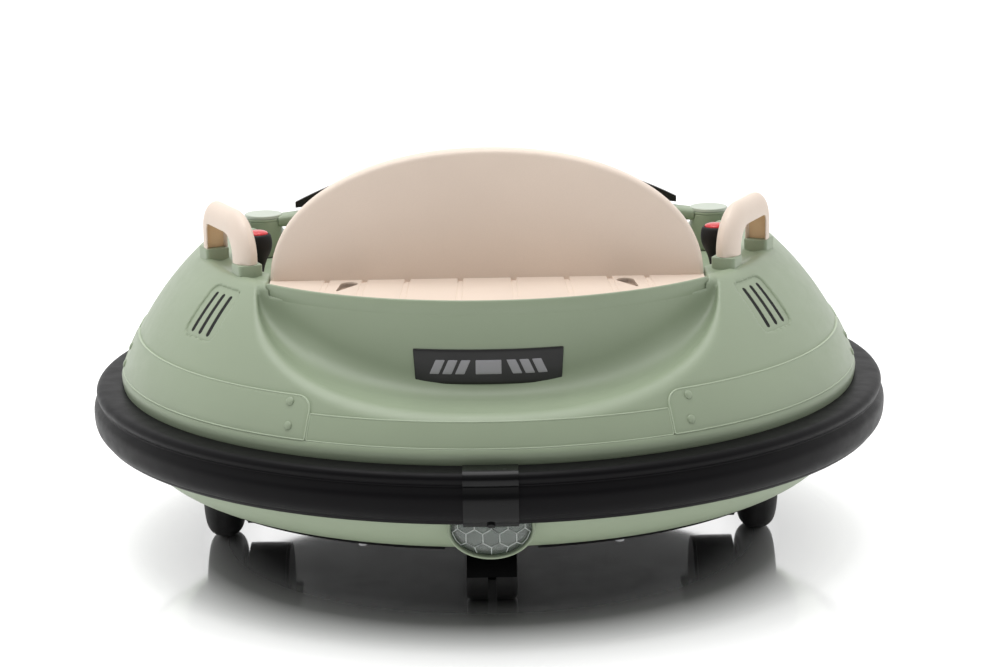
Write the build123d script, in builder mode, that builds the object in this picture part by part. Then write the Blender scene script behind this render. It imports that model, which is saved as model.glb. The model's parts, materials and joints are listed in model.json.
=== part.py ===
from build123d import *
from math import asin, atan2, cos, degrees, hypot, pi, radians, sin, sqrt, tan
import os

# A child's battery-powered ride-on bumper car, shaped like a flying saucer.
# Millimetres.  The origin is on the floor under the centre, +Z is up.
# The rider faces -Y, so -Y is the front, and the backrest is on the +Y side.
# "left" pieces are on the +X side and "right" pieces are on the -X side.

# ---------------------------------------------------------------- driving dimensions

# bumper ring
RING_R = 375.0                 # outermost radius
RING_BULGE_Z = 136.0           # height of the outermost line
RING_INNER_R = 345.0
RING_BOTTOM_Z = 115.5
RING_TOP_Z = 163.0
RING_WALL = 3.5
CLIP_WIDTH = 46.5
CLIP_THICK = 2.2

# moulded shells
WALL = 3.5
JOIN_Z = 118.0                 # where the two shells meet, hidden by the ring
FLANGE_R = 341.0               # both shells inside the ring
BAND_R = 347.0                 # widest line of the upper shell
BAND_Z = 171.0
CREST_R = 268.0                # outer edge of the shoulder
CREST_Z = 286.0
RIDGE_R = 240.0                # inner edge of the shoulder
DISH_R = 234.0                 # deck inside the shoulder
DISH_Z = 248.0
BASE_R = 300.0                 # bottom edge of the lower shell
BASE_Z = 77.0
PAN_R = 296.0                  # black bottom plate
PAN_TOP_Z = BASE_Z - 0.1
PAN_BOTTOM_Z = PAN_TOP_Z - WALL

# scoops in the rear and front of the dome
SCOOP_HALF_WIDTH = 203.0
SCOOP_BOTTOM_Z = 204.0
SCOOP_POWER = 2.5
ENTRY_HALF_WIDTH = 211.0
ENTRY_START_Y = -96.0

# cockpit tub
WELL_HALF_WIDTH = 150.0
FOOT_FRONT_Y = -283.0
FOOT_Z = 100.0
SEAT_FRONT_Y = -42.0
SEAT_REAR_Y = 128.0
SEAT_WELL_HALF_WIDTH = WELL_HALF_WIDTH + 14
SEAT_LEDGE_Z = 156.0

# seat
BACK_HALF_WIDTH = 191.0
BACK_TOP_Z = 398.0
BACK_REAR_Y = 160.0
BACK_THICK = 26.0
SHELF_Z = 283.0
SHELF_R = CREST_R - 3.4
SHELF_THICK = 4.0
PAN_SEAT_Z = 168.0
SEAT_WALL = 5.0
SEAT_SCREW = (128.0, 181.0)

# handles
HANDLE_REAR_FOOT = (217.0, 136.0)
HANDLE_FRONT_FOOT = (250.0, 55.0)
HANDLE_FOOT_Z = 292.0
HANDLE_AXIS_Z = 325.0
HANDLE_WIDE = 23.0
HANDLE_DEEP = 21.0

# joysticks
STICK_X = 212.0
STICK_Y = 60.0
STICK_PIVOT_Z = 236.0
STICK_TOP_Z = 310.5
STICK_PIN_R = 2.5

# dashboard
POST_X = 222.0
POST_Y = -138.0
POST_R = 18.6
POST_TOP_Z = 286.0
BEAM_DEEP = 24.0
PANEL_Y = -112.0
PANEL_THICK = 3.0
CONSOLE_WIDE = 156.0
CONSOLE_TALL = 44.0
CONSOLE_Z = 283.0
CONSOLE_WALL = 4.0
SCREEN_HALF_WIDTH = 190.0
SCREEN_TOP_Z = 345.0
SWITCH_X = -48.0
SWITCH_REST_TILT = 8.0
DASH_BUTTON_X = (-18.0, 6.0)
SPEAKER_X = 44.0

# lamps under the ring, front and rear
LAMP_Z = 104.0
LAMP_HALF_WIDE = 35.0
LAMP_HALF_TALL = 28.0
LAMP_FACE_Y = 332.0

# vents in the four quarters of the dome
VENT_AZIMUTHS = (54.4, 56.8, 59.2)
VENT_MIDDLE_Z = 258.0
VENT_TALL = 37.0
VENT_SLOT = 4.2

# charging socket, battery and its hatch
SOCKET_AT = (105.0, 128.0)     # x and z on the foot well's rear wall
SOCKET_CAP_R = 8.0
BATTERY_Y = 45.0
BATTERY_SIZE = (100.0, 90.0, 72.0)

# drive wheels and gearboxes
WHEEL_X = 256.0
WHEEL_R = 62.0
WHEEL_WIDTH = 34.0
AXLE_R = 5.0
CASE_INNER_X = 198.0           # open side, closed by the cover
CASE_OUTER_X = 234.0
CASE_R = 50.0
CASE_WALL = 3.0
PRESSURE_ANGLE = 20.0
FINE_MODULE = 1.0
COARSE_MODULE = 1.25
PINION_TEETH = 14
IDLER_TEETH = 48
IDLER_PINION_TEETH = 16
OUTPUT_TEETH = 52
MESH_GAP = 0.1                 # extra centre distance
IDLER_DIRECTION = 55.0         # degrees from +Y towards +Z, seen from +X
MOTOR_DIRECTION = 30.0
MOTOR_R = 17.9
MOTOR_LENGTH = 57.0

# casters
CASTER_Y = 190.0               # both swivel axes, front and rear
CASTER_TRAIL = 18.0
CASTER_R = 26.0
CASTER_HALF_WIDTH = 22.75
CASTER_STEM_R = 6.0
SOCKET_TOP_Z = 95.0

RUN_GAP = 0.05                 # radial clearance of a shaft in its bearing
SCREW_R = 2.0
SCREW_HOLE_R = 2.25

SIDES = {"left": 1, "right": -1}
ENDS = {"rear": 1, "front": -1}

os.makedirs("parts", exist_ok=True)


def save(built, name):
    """Label a finished piece and write it as its own STEP file."""
    built.part.label = name
    export_step(built.part, f"parts/{name}.step")


def radial_plane(azimuth, distance=0.0, z=0.0):
    """A plane whose normal points away from the Z axis, azimuth from +Y towards +X."""
    out = Vector(sin(radians(azimuth)), cos(radians(azimuth)), 0)
    across = Vector(cos(radians(azimuth)), -sin(radians(azimuth)), 0)
    return Plane(origin=out * distance + Vector(0, 0, z), x_dir=across, z_dir=out)


def all_quarters(azimuth):
    """The same azimuth in the four quarters of the round body."""
    return (azimuth, -azimuth, 180 - azimuth, 180 + azimuth)


# ---------------------------------------------------------------- shell outlines


# the dome's side is one arc: its circle gives places on and under the surface
DOME_START = (BAND_R, BAND_Z)
DOME_MIDDLE = (317.2, 231.0)
DOME_END = (276.0, 280.0)


def circle_through(a, b, c):
    """Centre and radius of the circle through three points."""
    ax, az, bx, bz, cx, cz = *a, *b, *c
    d = 2 * (ax * (bz - cz) + bx * (cz - az) + cx * (az - bz))
    aa, bb, cc = ax * ax + az * az, bx * bx + bz * bz, cx * cx + cz * cz
    x = (aa * (bz - cz) + bb * (cz - az) + cc * (az - bz)) / d
    z = (aa * (cx - bx) + bb * (ax - cx) + cc * (bx - ax)) / d
    return (x, z), hypot(ax - x, az - z)


DOME_CENTRE, DOME_R = circle_through(DOME_START, DOME_MIDDLE, DOME_END)


def dome_at(z, depth=0.0):
    """Radius and height of the dome's side at height z, moved in by depth."""
    slope = asin((z - DOME_CENTRE[1]) / DOME_R)
    reach = DOME_R - depth
    return DOME_CENTRE[0] + reach * cos(slope), DOME_CENTRE[1] + reach * sin(slope)


def dome_plane(azimuth, z, depth=0.0):
    """Plane tangent to the dome's side, its normal pointing out."""
    slope = asin((z - DOME_CENTRE[1]) / DOME_R)
    r, height = dome_at(z, depth)
    flat = Vector(sin(radians(azimuth)), cos(radians(azimuth)), 0)
    across = Vector(cos(radians(azimuth)), -sin(radians(azimuth)), 0)
    out = flat * cos(slope) + Vector(0, 0, sin(slope))
    return Plane(origin=flat * r + Vector(0, 0, height), x_dir=across, z_dir=out)


def dome_outline(inset):
    """Half section of the upper shell's outside, or of its inside when inset."""
    top = CREST_Z - inset
    with BuildLine(Plane.XZ) as line:
        Polyline(
            (0, JOIN_Z),
            (FLANGE_R - inset, JOIN_Z),
            (FLANGE_R - inset, 152),
            dome_at(BAND_Z, inset),
        )
        ThreePointArc(dome_at(BAND_Z, inset), dome_at(231, inset), dome_at(280, inset))
        Polyline(
            dome_at(280, inset),
            (CREST_R - inset * 0.5, top),
            (CREST_R - 14, top - 2.5),
            (RIDGE_R + inset * 0.6, top),
            (DISH_R + inset, top - 6),
            (DISH_R + inset * 0.8, DISH_Z - inset),
            (0, DISH_Z - inset),
            (0, JOIN_Z),
        )
    return line


def scoop_section(half_width, grow):
    """Cross-section of a scoop: a broad bowl, open at the top."""
    half = half_width + grow
    depth = CREST_Z - SCOOP_BOTTOM_Z + grow
    points = []
    for step in range(-10, 11):
        angle = step / 10 * pi / 2
        across = half * abs(sin(angle)) ** (2 / SCOOP_POWER)
        down = depth * abs(cos(angle)) ** (2 / SCOOP_POWER)
        points.append((across if step > 0 else -across, CREST_Z - down))
    with BuildLine(Plane.XZ) as line:
        Spline(*points)
        Polyline(points[-1], (half, 330), (-half, 330), points[0])
    return line


def rear_scoop(grow):
    """What the rear scoop takes away: outside the rim's cylinder, above the bowl."""
    with BuildPart() as cut:
        with BuildSketch(Plane.XZ):
            add(scoop_section(SCOOP_HALF_WIDTH, grow).line)
            make_face()
        extrude(amount=-420)
        with BuildSketch(Plane.XY.offset(100)):
            Circle(CREST_R - grow)
        extrude(amount=300, mode=Mode.SUBTRACT)
    return cut.part


def entry_scoop(grow):
    """What the front entry takes away, from the tub to the front of the dome."""
    with BuildPart() as cut:
        with BuildSketch(Plane.XZ.offset(-ENTRY_START_Y - grow)):
            add(scoop_section(ENTRY_HALF_WIDTH, grow).line)
            make_face()
        extrude(amount=330)
    return cut.part


def tub(grow):
    """The foot well and the higher seat well behind it."""
    with BuildPart() as cut:
        with BuildSketch(Plane.XY.offset(FOOT_Z - grow)):
            with Locations((0, (FOOT_FRONT_Y + SEAT_FRONT_Y) / 2)):
                RectangleRounded(
                    2 * (WELL_HALF_WIDTH + grow),
                    SEAT_FRONT_Y - FOOT_FRONT_Y + 2 * grow,
                    34 + grow,
                )
        extrude(amount=220)
        front = SEAT_FRONT_Y - 40
        with BuildSketch(Plane.XY.offset(SEAT_LEDGE_Z - grow)):
            with Locations((0, (front + SEAT_REAR_Y) / 2)):
                RectangleRounded(
                    2 * (SEAT_WELL_HALF_WIDTH + grow),
                    SEAT_REAR_Y - front + 2 * grow,
                    30 + grow,
                )
        extrude(amount=160)
    return cut.part


def foot_block():
    """The foot well's outside, which hangs below the level of the join."""
    with BuildPart() as block:
        add(tub(WALL))
        with Locations((0, 0, JOIN_Z + 4 + 150)):
            Box(700, 700, 300, mode=Mode.SUBTRACT)
    return block.part


def shelf_seat(grow):
    """The lowered ridge that the seat's rear shelf lies on."""
    with BuildPart() as cut:
        with BuildSketch(Plane.XY.offset(SHELF_Z - SHELF_THICK - 0.4 - grow)):
            Circle(SHELF_R + 0.4 + grow)
            with Locations((0, 200 - grow / 2)):
                Rectangle(2 * (BACK_HALF_WIDTH + 1.2 + grow), 150 + grow, mode=Mode.INTERSECT)
        extrude(amount=40)
    return cut.part


def post_pockets(grow):
    """Pockets in the shoulders for the dashboard's two posts."""
    with BuildPart() as cut:
        with BuildSketch(Plane.XY.offset(DISH_Z - grow)):
            with Locations((POST_X, POST_Y), (-POST_X, POST_Y)):
                Circle(POST_R + 0.4 + grow)
        extrude(amount=60)
    return cut.part


def lamp_bores(margin):
    """Oval tunnels through the rim of the shells for the two lamps."""
    with BuildPart() as cut:
        with BuildSketch(Plane.XZ):
            with Locations((0, LAMP_Z)):
                Ellipse(LAMP_HALF_WIDE + margin, LAMP_HALF_TALL + margin)
        extrude(amount=380, both=True)
        Box(800, 2 * (LAMP_FACE_Y - 40), 600, mode=Mode.SUBTRACT)
    return cut.part


def handle_feet():
    feet = []
    for side in SIDES.values():
        feet.append((side * HANDLE_REAR_FOOT[0], HANDLE_REAR_FOOT[1]))
        feet.append((side * HANDLE_FRONT_FOOT[0], HANDLE_FRONT_FOOT[1]))
    return feet


# ---------------------------------------------------------------- upper shell

with BuildPart() as shell_space:
    with BuildSketch(Plane.XZ):
        add(dome_outline(WALL).line)
        make_face()
    revolve(axis=Axis.Z)
    for cutter in (rear_scoop, entry_scoop, tub, shelf_seat, post_pockets):
        add(cutter(WALL), mode=Mode.SUBTRACT)

with BuildPart() as upper_shell:
    with BuildSketch(Plane.XZ):
        add(dome_outline(0).line)
        make_face()
    revolve(axis=Axis.Z)
    add(foot_block())
    for cutter in (rear_scoop, entry_scoop, tub, shelf_seat, post_pockets):
        add(cutter(0), mode=Mode.SUBTRACT)
    with BuildSketch(Plane.XY.offset(HANDLE_FOOT_Z)):
        with Locations(*handle_feet()):
            Circle(12.5)
    extrude(amount=-12, taper=-6)
    add(shell_space.part, mode=Mode.SUBTRACT)
    # battery hatch under the seat
    with Locations((0, BATTERY_Y, SEAT_LEDGE_Z - 2)):
        Box(BATTERY_SIZE[0] + 18, BATTERY_SIZE[1] + 18, 12, mode=Mode.SUBTRACT)
    # holes for the joysticks, the seat and handle screws and the charging socket
    with BuildSketch(Plane.XY.offset(DISH_Z + 2)):
        with Locations((STICK_X, STICK_Y), (-STICK_X, STICK_Y)):
            Circle(12.5)
        with Locations((SEAT_SCREW[0], SEAT_SCREW[1]), (-SEAT_SCREW[0], SEAT_SCREW[1])):
            Circle(SCREW_HOLE_R)
    extrude(amount=-10, mode=Mode.SUBTRACT)
    with BuildSketch(Plane.XY.offset(HANDLE_FOOT_Z + 1)):
        with Locations(*handle_feet()):
            Circle(SCREW_HOLE_R)
    extrude(amount=-18, mode=Mode.SUBTRACT)
    with BuildSketch(Plane.XZ.offset(-SEAT_FRONT_Y + 4)):
        with Locations(SOCKET_AT):
            Circle(9.2)
    extrude(amount=-12, mode=Mode.SUBTRACT)
    # vent slots
    for azimuth in VENT_AZIMUTHS:
        for turn in all_quarters(azimuth):
            with BuildSketch(radial_plane(turn, 250, VENT_MIDDLE_Z)):
                SlotOverall(VENT_TALL, VENT_SLOT, rotation=90)
            extrude(amount=90, mode=Mode.SUBTRACT)
    add(lamp_bores(0.4), mode=Mode.SUBTRACT)
save(upper_shell, "upper_shell")

# ---------------------------------------------------------------- lower shell, bottom plate

with BuildPart() as lower_shell:
    with BuildSketch(Plane.XZ):
        with BuildLine():
            ThreePointArc((FLANGE_R, JOIN_Z - 0.2), (327, 93), (BASE_R, BASE_Z))
            Polyline(
                (BASE_R, BASE_Z),
                (286, BASE_Z),
                (286, BASE_Z + 3),
                (BASE_R - 2.5, BASE_Z + 3),
            )
            ThreePointArc(
                (BASE_R - 2.5, BASE_Z + 3), (324.4, 95.5), (FLANGE_R - WALL, JOIN_Z - 0.2)
            )
            Line((FLANGE_R - WALL, JOIN_Z - 0.2), (FLANGE_R, JOIN_Z - 0.2))
        make_face()
    revolve(axis=Axis.Z)
    add(lamp_bores(0.4), mode=Mode.SUBTRACT)
    with BuildSketch(Plane.XY.offset(BASE_Z - 1)):
        with PolarLocations(291, 8, start_angle=22.5):
            Circle(SCREW_HOLE_R)
    extrude(amount=8, mode=Mode.SUBTRACT)
save(lower_shell, "lower_shell")

with BuildPart() as base_pan:
    with BuildSketch(Plane.XY.offset(PAN_BOTTOM_Z)):
        Circle(PAN_R)
        for side in SIDES.values():
            with Locations((side * 233, 0)):
                RectangleRounded(90, 138, 8, mode=Mode.SUBTRACT)
        with PolarLocations(291, 8, start_angle=22.5):
            Circle(SCREW_HOLE_R, mode=Mode.SUBTRACT)
        for end in ENDS.values():
            with Locations((0, end * 296)):
                Rectangle(80, 16, mode=Mode.SUBTRACT)
    extrude(amount=PAN_TOP_Z - PAN_BOTTOM_Z)
    # battery tray, stiffening ribs and the two swivel sockets
    with BuildSketch(Plane.XY.offset(PAN_TOP_Z - 0.5)):
        with Locations((0, BATTERY_Y)):
            Rectangle(BATTERY_SIZE[0] + 12, BATTERY_SIZE[1] + 12)
            Rectangle(BATTERY_SIZE[0] + 6, BATTERY_SIZE[1] + 6, mode=Mode.SUBTRACT)
        for side in SIDES.values():
            with Locations((side * 100, -110), (side * 100, 205)):
                Rectangle(3, 110)
        with Locations((0, -60), (0, 125)):
            Rectangle(190, 3)
    extrude(amount=14)
    with BuildSketch(Plane.XY.offset(PAN_TOP_Z - 0.5)):
        with Locations((0, CASTER_Y), (0, -CASTER_Y)):
            Circle(15)
    extrude(amount=SOCKET_TOP_Z - PAN_TOP_Z + 0.5)
    with BuildSketch(Plane.XY.offset(PAN_BOTTOM_Z - 1)):
        with Locations((0, CASTER_Y), (0, -CASTER_Y)):
            Circle(CASTER_STEM_R + RUN_GAP)
    extrude(amount=SOCKET_TOP_Z - 3 - PAN_BOTTOM_Z + 1, mode=Mode.SUBTRACT)
save(base_pan, "base_pan")

with BuildPart() as base_screws:
    with BuildSketch(Plane.XY.offset(PAN_BOTTOM_Z)):
        with PolarLocations(291, 8, start_angle=22.5):
            Circle(4)
    extrude(amount=-2.2)
    with BuildSketch(Plane.XY.offset(PAN_BOTTOM_Z)):
        with PolarLocations(291, 8, start_angle=22.5):
            Circle(SCREW_R)
    extrude(amount=9)
save(base_screws, "base_screws")

# ---------------------------------------------------------------- bumper ring and clips

LIP_CENTRE = (355.6, 134.9)    # centre of the ring's lower rounding
LIP_R = 19.4


def ring_section(inset):
    """Closed half section of the ring, its groove included."""
    with BuildLine(Plane.XZ) as line:
        low = (357, RING_BOTTOM_Z + inset)
        bulge = (RING_R - inset, RING_BULGE_Z)
        waist = (369.5 - inset, 150)
        lip = (371.5 - inset, 152.5)
        top = (365 - inset, RING_TOP_Z - inset)
        inner = RING_INNER_R + inset
        Polyline(top, (inner, RING_TOP_Z - inset), (inner, RING_BOTTOM_Z + inset + 0.5), low)
        ThreePointArc(low, (370 - inset * 0.7, 121.5 + inset * 0.7), bulge)
        ThreePointArc(bulge, (374 - inset, 145), waist)
        Line(waist, lip)
        ThreePointArc(lip, (371 - inset, 159.5 - inset * 0.3), top)
    return line


def clip_screw_plane(end, distance):
    """Plane across a clip screw, at a distance from the centre of the rounding."""
    slope = radians(50)
    out = Vector(0, end * cos(slope), -sin(slope))
    centre = Vector(0, end * LIP_CENTRE[0], LIP_CENTRE[1])
    return Plane(origin=centre + out * distance, x_dir=(1, 0, 0), z_dir=out)


CLIP_SCREW_SEAT = LIP_R + CLIP_THICK - 0.4

for name, side in SIDES.items():
    with BuildPart() as bumper:
        with BuildSketch(Plane.XZ):
            add(ring_section(0).line)
            make_face()
        revolve(axis=Axis.Z)
        with Locations((-side * 250 + side * 0.15, 0, 140)):
            Box(500, 900, 120, mode=Mode.SUBTRACT)
        with BuildPart(mode=Mode.PRIVATE) as hollow:
            with BuildSketch(Plane.XZ):
                add(ring_section(RING_WALL).line)
                make_face()
            revolve(axis=Axis.Z)
            with Locations((-side * 250 + side * 12, 0, 140)):
                Box(500, 900, 120, mode=Mode.SUBTRACT)
        add(hollow.part, mode=Mode.SUBTRACT)
        for end in ENDS.values():
            with BuildSketch(clip_screw_plane(end, 8)):
                Circle(SCREW_HOLE_R)
            extrude(amount=20, mode=Mode.SUBTRACT)
    save(bumper, f"bumper_{name}")

for name, end in ENDS.items():
    with BuildPart() as clip:
        with BuildSketch(Plane.XZ):
            with BuildLine():
                add(ring_section(-CLIP_THICK).line)
            make_face()
            with BuildLine():
                add(ring_section(-0.1).line)
            make_face(mode=Mode.SUBTRACT)
            with Locations((300, 140)):
                Rectangle(100, 100, mode=Mode.SUBTRACT)
        revolve(axis=Axis.Z)
        with BuildSketch(Plane.XY.offset(100)):
            with Locations((0, end * 350)):
                Rectangle(CLIP_WIDTH, 100)
        extrude(amount=80, mode=Mode.INTERSECT)
        with BuildSketch(clip_screw_plane(end, 8)):
            Circle(SCREW_HOLE_R)
        extrude(amount=20, mode=Mode.SUBTRACT)
        with BuildSketch(clip_screw_plane(end, CLIP_SCREW_SEAT)):
            Circle(3.8)
        extrude(amount=6, mode=Mode.SUBTRACT)
    save(clip, f"{name}_bumper_clip")

with BuildPart() as clip_screws:
    for end in ENDS.values():
        with BuildSketch(clip_screw_plane(end, CLIP_SCREW_SEAT)):
            Circle(3.5)
        extrude(amount=2.2)
        with BuildSketch(clip_screw_plane(end, CLIP_SCREW_SEAT)):
            Circle(SCREW_R)
        extrude(amount=-9)
save(clip_screws, "clip_screws")

# ---------------------------------------------------------------- dome fittings

with BuildPart() as vent_grilles:
    low, middle, high = VENT_MIDDLE_Z - 22, VENT_MIDDLE_Z, VENT_MIDDLE_Z + 20
    for azimuth in all_quarters(VENT_AZIMUTHS[1]):
        turn = radial_plane(azimuth - 4.4).z_dir
        with BuildSketch(Plane(origin=(0, 0, 0), x_dir=turn, z_dir=turn.cross(Vector(0, 0, 1)))):
            with BuildLine():
                near, far = WALL + 0.2, WALL + 2.0
                ThreePointArc(dome_at(low, near), dome_at(middle, near), dome_at(high, near))
                Line(dome_at(high, near), dome_at(high, far))
                ThreePointArc(dome_at(high, far), dome_at(middle, far), dome_at(low, far))
                Line(dome_at(low, far), dome_at(low, near))
            make_face()
        revolve(axis=Axis.Z, revolution_arc=-8.8)
    add(post_pockets(WALL + 0.2), mode=Mode.SUBTRACT)
save(vent_grilles, "vent_grilles")

RIVETS = ((30.5, 205.0), (30.0, 186.0), (84.0, 196.0), (83.0, 181.0))
with BuildPart() as panel_rivets:
    for azimuth, z in RIVETS:
        for turn in all_quarters(azimuth):
            with BuildSketch(dome_plane(turn, z, -0.1)):
                Circle(3.75)
            extrude(amount=1.5, taper=35)
save(panel_rivets, "panel_rivets")

PLATE_HALF_TURN = 13.9
with BuildPart() as number_plate:
    turn = radial_plane(-PLATE_HALF_TURN).z_dir
    with BuildSketch(Plane(origin=(0, 0, 0), x_dir=turn, z_dir=turn.cross(Vector(0, 0, 1)))):
        with Locations((CREST_R + 0.95, 228.2)):
            Rectangle(1.5, 30.5)
    revolve(axis=Axis.Z, revolution_arc=-2 * PLATE_HALF_TURN)
save(number_plate, "number_plate")

# ---------------------------------------------------------------- seat

SEAT_GAP = 0.5
BACK_FRONT_Y = BACK_REAR_Y - BACK_THICK
BUCKET_OUT = SEAT_WELL_HALF_WIDTH - SEAT_GAP
BUCKET_IN = BUCKET_OUT - SEAT_WALL
FLANGE_TOP_Z = 255.0
BACK_NARROW_HALF = 167.0


def back_outline(inset):
    """The backrest seen from behind: a half ellipse on a straight lower part."""
    half = BACK_HALF_WIDTH - inset
    with BuildLine(Plane.XZ) as line:
        arch = EllipticalCenterArc(
            (0, SHELF_Z), half, BACK_TOP_Z - inset - SHELF_Z, start_angle=0, arc_size=180
        )
        step_z = SHELF_Z - SHELF_THICK + inset
        narrow = BACK_NARROW_HALF - inset
        Polyline(
            arch @ 1,
            (-half, step_z),
            (-narrow, step_z),
            (-narrow, DISH_Z + 0.4),
            (narrow, DISH_Z + 0.4),
            (narrow, step_z),
            (half, step_z),
            arch @ 0,
        )
    return line


with BuildPart() as seat:
    # backrest and the shelf behind it
    with BuildSketch(Plane.XZ.offset(-BACK_REAR_Y)):
        add(back_outline(0).line)
        make_face()
    extrude(amount=BACK_THICK)
    with BuildSketch(Plane.XY.offset(SHELF_Z - SHELF_THICK)):
        Circle(SHELF_R)
        with Locations((0, BACK_FRONT_Y + 80)):
            Rectangle(2 * BACK_HALF_WIDTH, 160, mode=Mode.INTERSECT)
    extrude(amount=SHELF_THICK)
    # screw cups under the shelf
    with BuildSketch(Plane.XY.offset(DISH_Z + 0.4)):
        with Locations((SEAT_SCREW[0], SEAT_SCREW[1]), (-SEAT_SCREW[0], SEAT_SCREW[1])):
            Circle(9)
    extrude(amount=SHELF_Z - 1 - DISH_Z)
    # arm flange and the outside of the bucket
    with BuildSketch(Plane.XY.offset(DISH_Z + 0.4)):
        front = SEAT_FRONT_Y - 4
        with Locations((0, (front + BACK_FRONT_Y + 10) / 2)):
            RectangleRounded(352, BACK_FRONT_Y + 10 - front, 12)
    extrude(amount=FLANGE_TOP_Z - DISH_Z)
    with BuildSketch(Plane.XY.offset(SEAT_LEDGE_Z + 0.4)):
        front = SEAT_FRONT_Y + 1
        rear = SEAT_REAR_Y - SEAT_GAP
        with Locations((0, (front + rear) / 2)):
            Rectangle(2 * BUCKET_OUT, rear - front)
    extrude(amount=DISH_Z - SEAT_LEDGE_Z)
    # round the bucket's rear corners and the flange
    fillet(
        seat.edges().filter_by(Axis.Z).filter_by(
            lambda e: abs(abs(e.center().X) - BUCKET_OUT) < 1
            and e.center().Y > 100
            and e.center().Z < 230
        ),
        29,
    )
    # hollow of the bucket, open towards the foot well
    with BuildSketch(Plane.XY.offset(PAN_SEAT_Z)):
        front = SEAT_FRONT_Y - 30
        rear = SEAT_REAR_Y - SEAT_GAP - SEAT_WALL
        with Locations((0, (front + rear) / 2)):
            RectangleRounded(2 * BUCKET_IN, rear - front, 24)
    extrude(amount=100, mode=Mode.SUBTRACT)
    # hollow under the seat pan
    with BuildSketch(Plane.XY.offset(SEAT_LEDGE_Z - 1)):
        with Locations((0, (SEAT_FRONT_Y + SEAT_REAR_Y) / 2)):
            RectangleRounded(2 * BUCKET_IN - 10, SEAT_REAR_Y - SEAT_FRONT_Y - 20, 20)
    extrude(amount=PAN_SEAT_Z - SEAT_WALL - SEAT_LEDGE_Z + 1, mode=Mode.SUBTRACT)
    # hollow backrest, open below
    with BuildSketch(Plane.XZ.offset(-BACK_REAR_Y + WALL)):
        add(back_outline(WALL).line)
        make_face()
        with Locations((0, DISH_Z)):
            Rectangle(400, 16, mode=Mode.SUBTRACT)
    extrude(amount=BACK_THICK - 2 * WALL, mode=Mode.SUBTRACT)
    # grooves that fan out over the shelf, and the screw pockets
    for x in (23.5, 70.5, 108.5, 142):
        for side in SIDES.values():
            lean = degrees(atan2(side * x * 0.10, 80))
            with Locations(Location((side * x * 1.04, 213, SHELF_Z), (0, 0, -lean))):
                Box(2.4, 110, 1.6, mode=Mode.SUBTRACT)
    with BuildSketch(Plane.XY.offset(DISH_Z + 14)):
        with Locations((SEAT_SCREW[0], SEAT_SCREW[1]), (-SEAT_SCREW[0], SEAT_SCREW[1])):
            Circle(6.5)
    extrude(amount=40, mode=Mode.SUBTRACT)
    with BuildSketch(Plane.XY.offset(DISH_Z)):
        with Locations((SEAT_SCREW[0], SEAT_SCREW[1]), (-SEAT_SCREW[0], SEAT_SCREW[1])):
            Circle(SCREW_HOLE_R)
    extrude(amount=20, mode=Mode.SUBTRACT)
save(seat, "seat")

with BuildPart() as seat_screws:
    with BuildSketch(Plane.XY.offset(DISH_Z + 14)):
        with Locations((SEAT_SCREW[0], SEAT_SCREW[1]), (-SEAT_SCREW[0], SEAT_SCREW[1])):
            Circle(4.5)
    extrude(amount=2.6)
    with BuildSketch(Plane.XY.offset(DISH_Z + 14)):
        with Locations((SEAT_SCREW[0], SEAT_SCREW[1]), (-SEAT_SCREW[0], SEAT_SCREW[1])):
            Circle(SCREW_R)
    extrude(amount=-24)
save(seat_screws, "seat_screws")

# ---------------------------------------------------------------- handles

for name, side in SIDES.items():
    rear = Vector(side * HANDLE_REAR_FOOT[0], HANDLE_REAR_FOOT[1], HANDLE_FOOT_Z + 0.1)
    front = Vector(side * HANDLE_FRONT_FOOT[0], HANDLE_FRONT_FOOT[1], HANDLE_FOOT_Z + 0.1)
    rise = Vector(0, 0, HANDLE_AXIS_Z - HANDLE_FOOT_Z - 0.1)
    with BuildPart() as handle:
        with BuildLine():
            FilletPolyline(rear, rear + rise, front + rise, front, radius=22)
        along = (front - rear).normalized()
        with BuildSketch(Plane(origin=rear, x_dir=along, z_dir=(0, 0, 1))):
            RectangleRounded(HANDLE_DEEP, HANDLE_WIDE, 9)
        sweep()
        for foot in (rear, front):
            with BuildSketch(Plane.XY.offset(HANDLE_FOOT_Z)):
                with Locations((foot.X, foot.Y)):
                    Circle(1.7)
            extrude(amount=16, mode=Mode.SUBTRACT)
    save(handle, f"{name}_handle")

with BuildPart() as handle_screws:
    shoulder_under = CREST_Z - WALL - 3.0
    with BuildSketch(Plane.XY.offset(shoulder_under)):
        with Locations(*handle_feet()):
            Circle(1.6)
    extrude(amount=HANDLE_FOOT_Z + 14 - shoulder_under)
    with BuildSketch(Plane.XY.offset(shoulder_under)):
        with Locations(*handle_feet()):
            Circle(4)
    extrude(amount=-2.4)
save(handle_screws, "handle_screws")

# ---------------------------------------------------------------- joysticks

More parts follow.
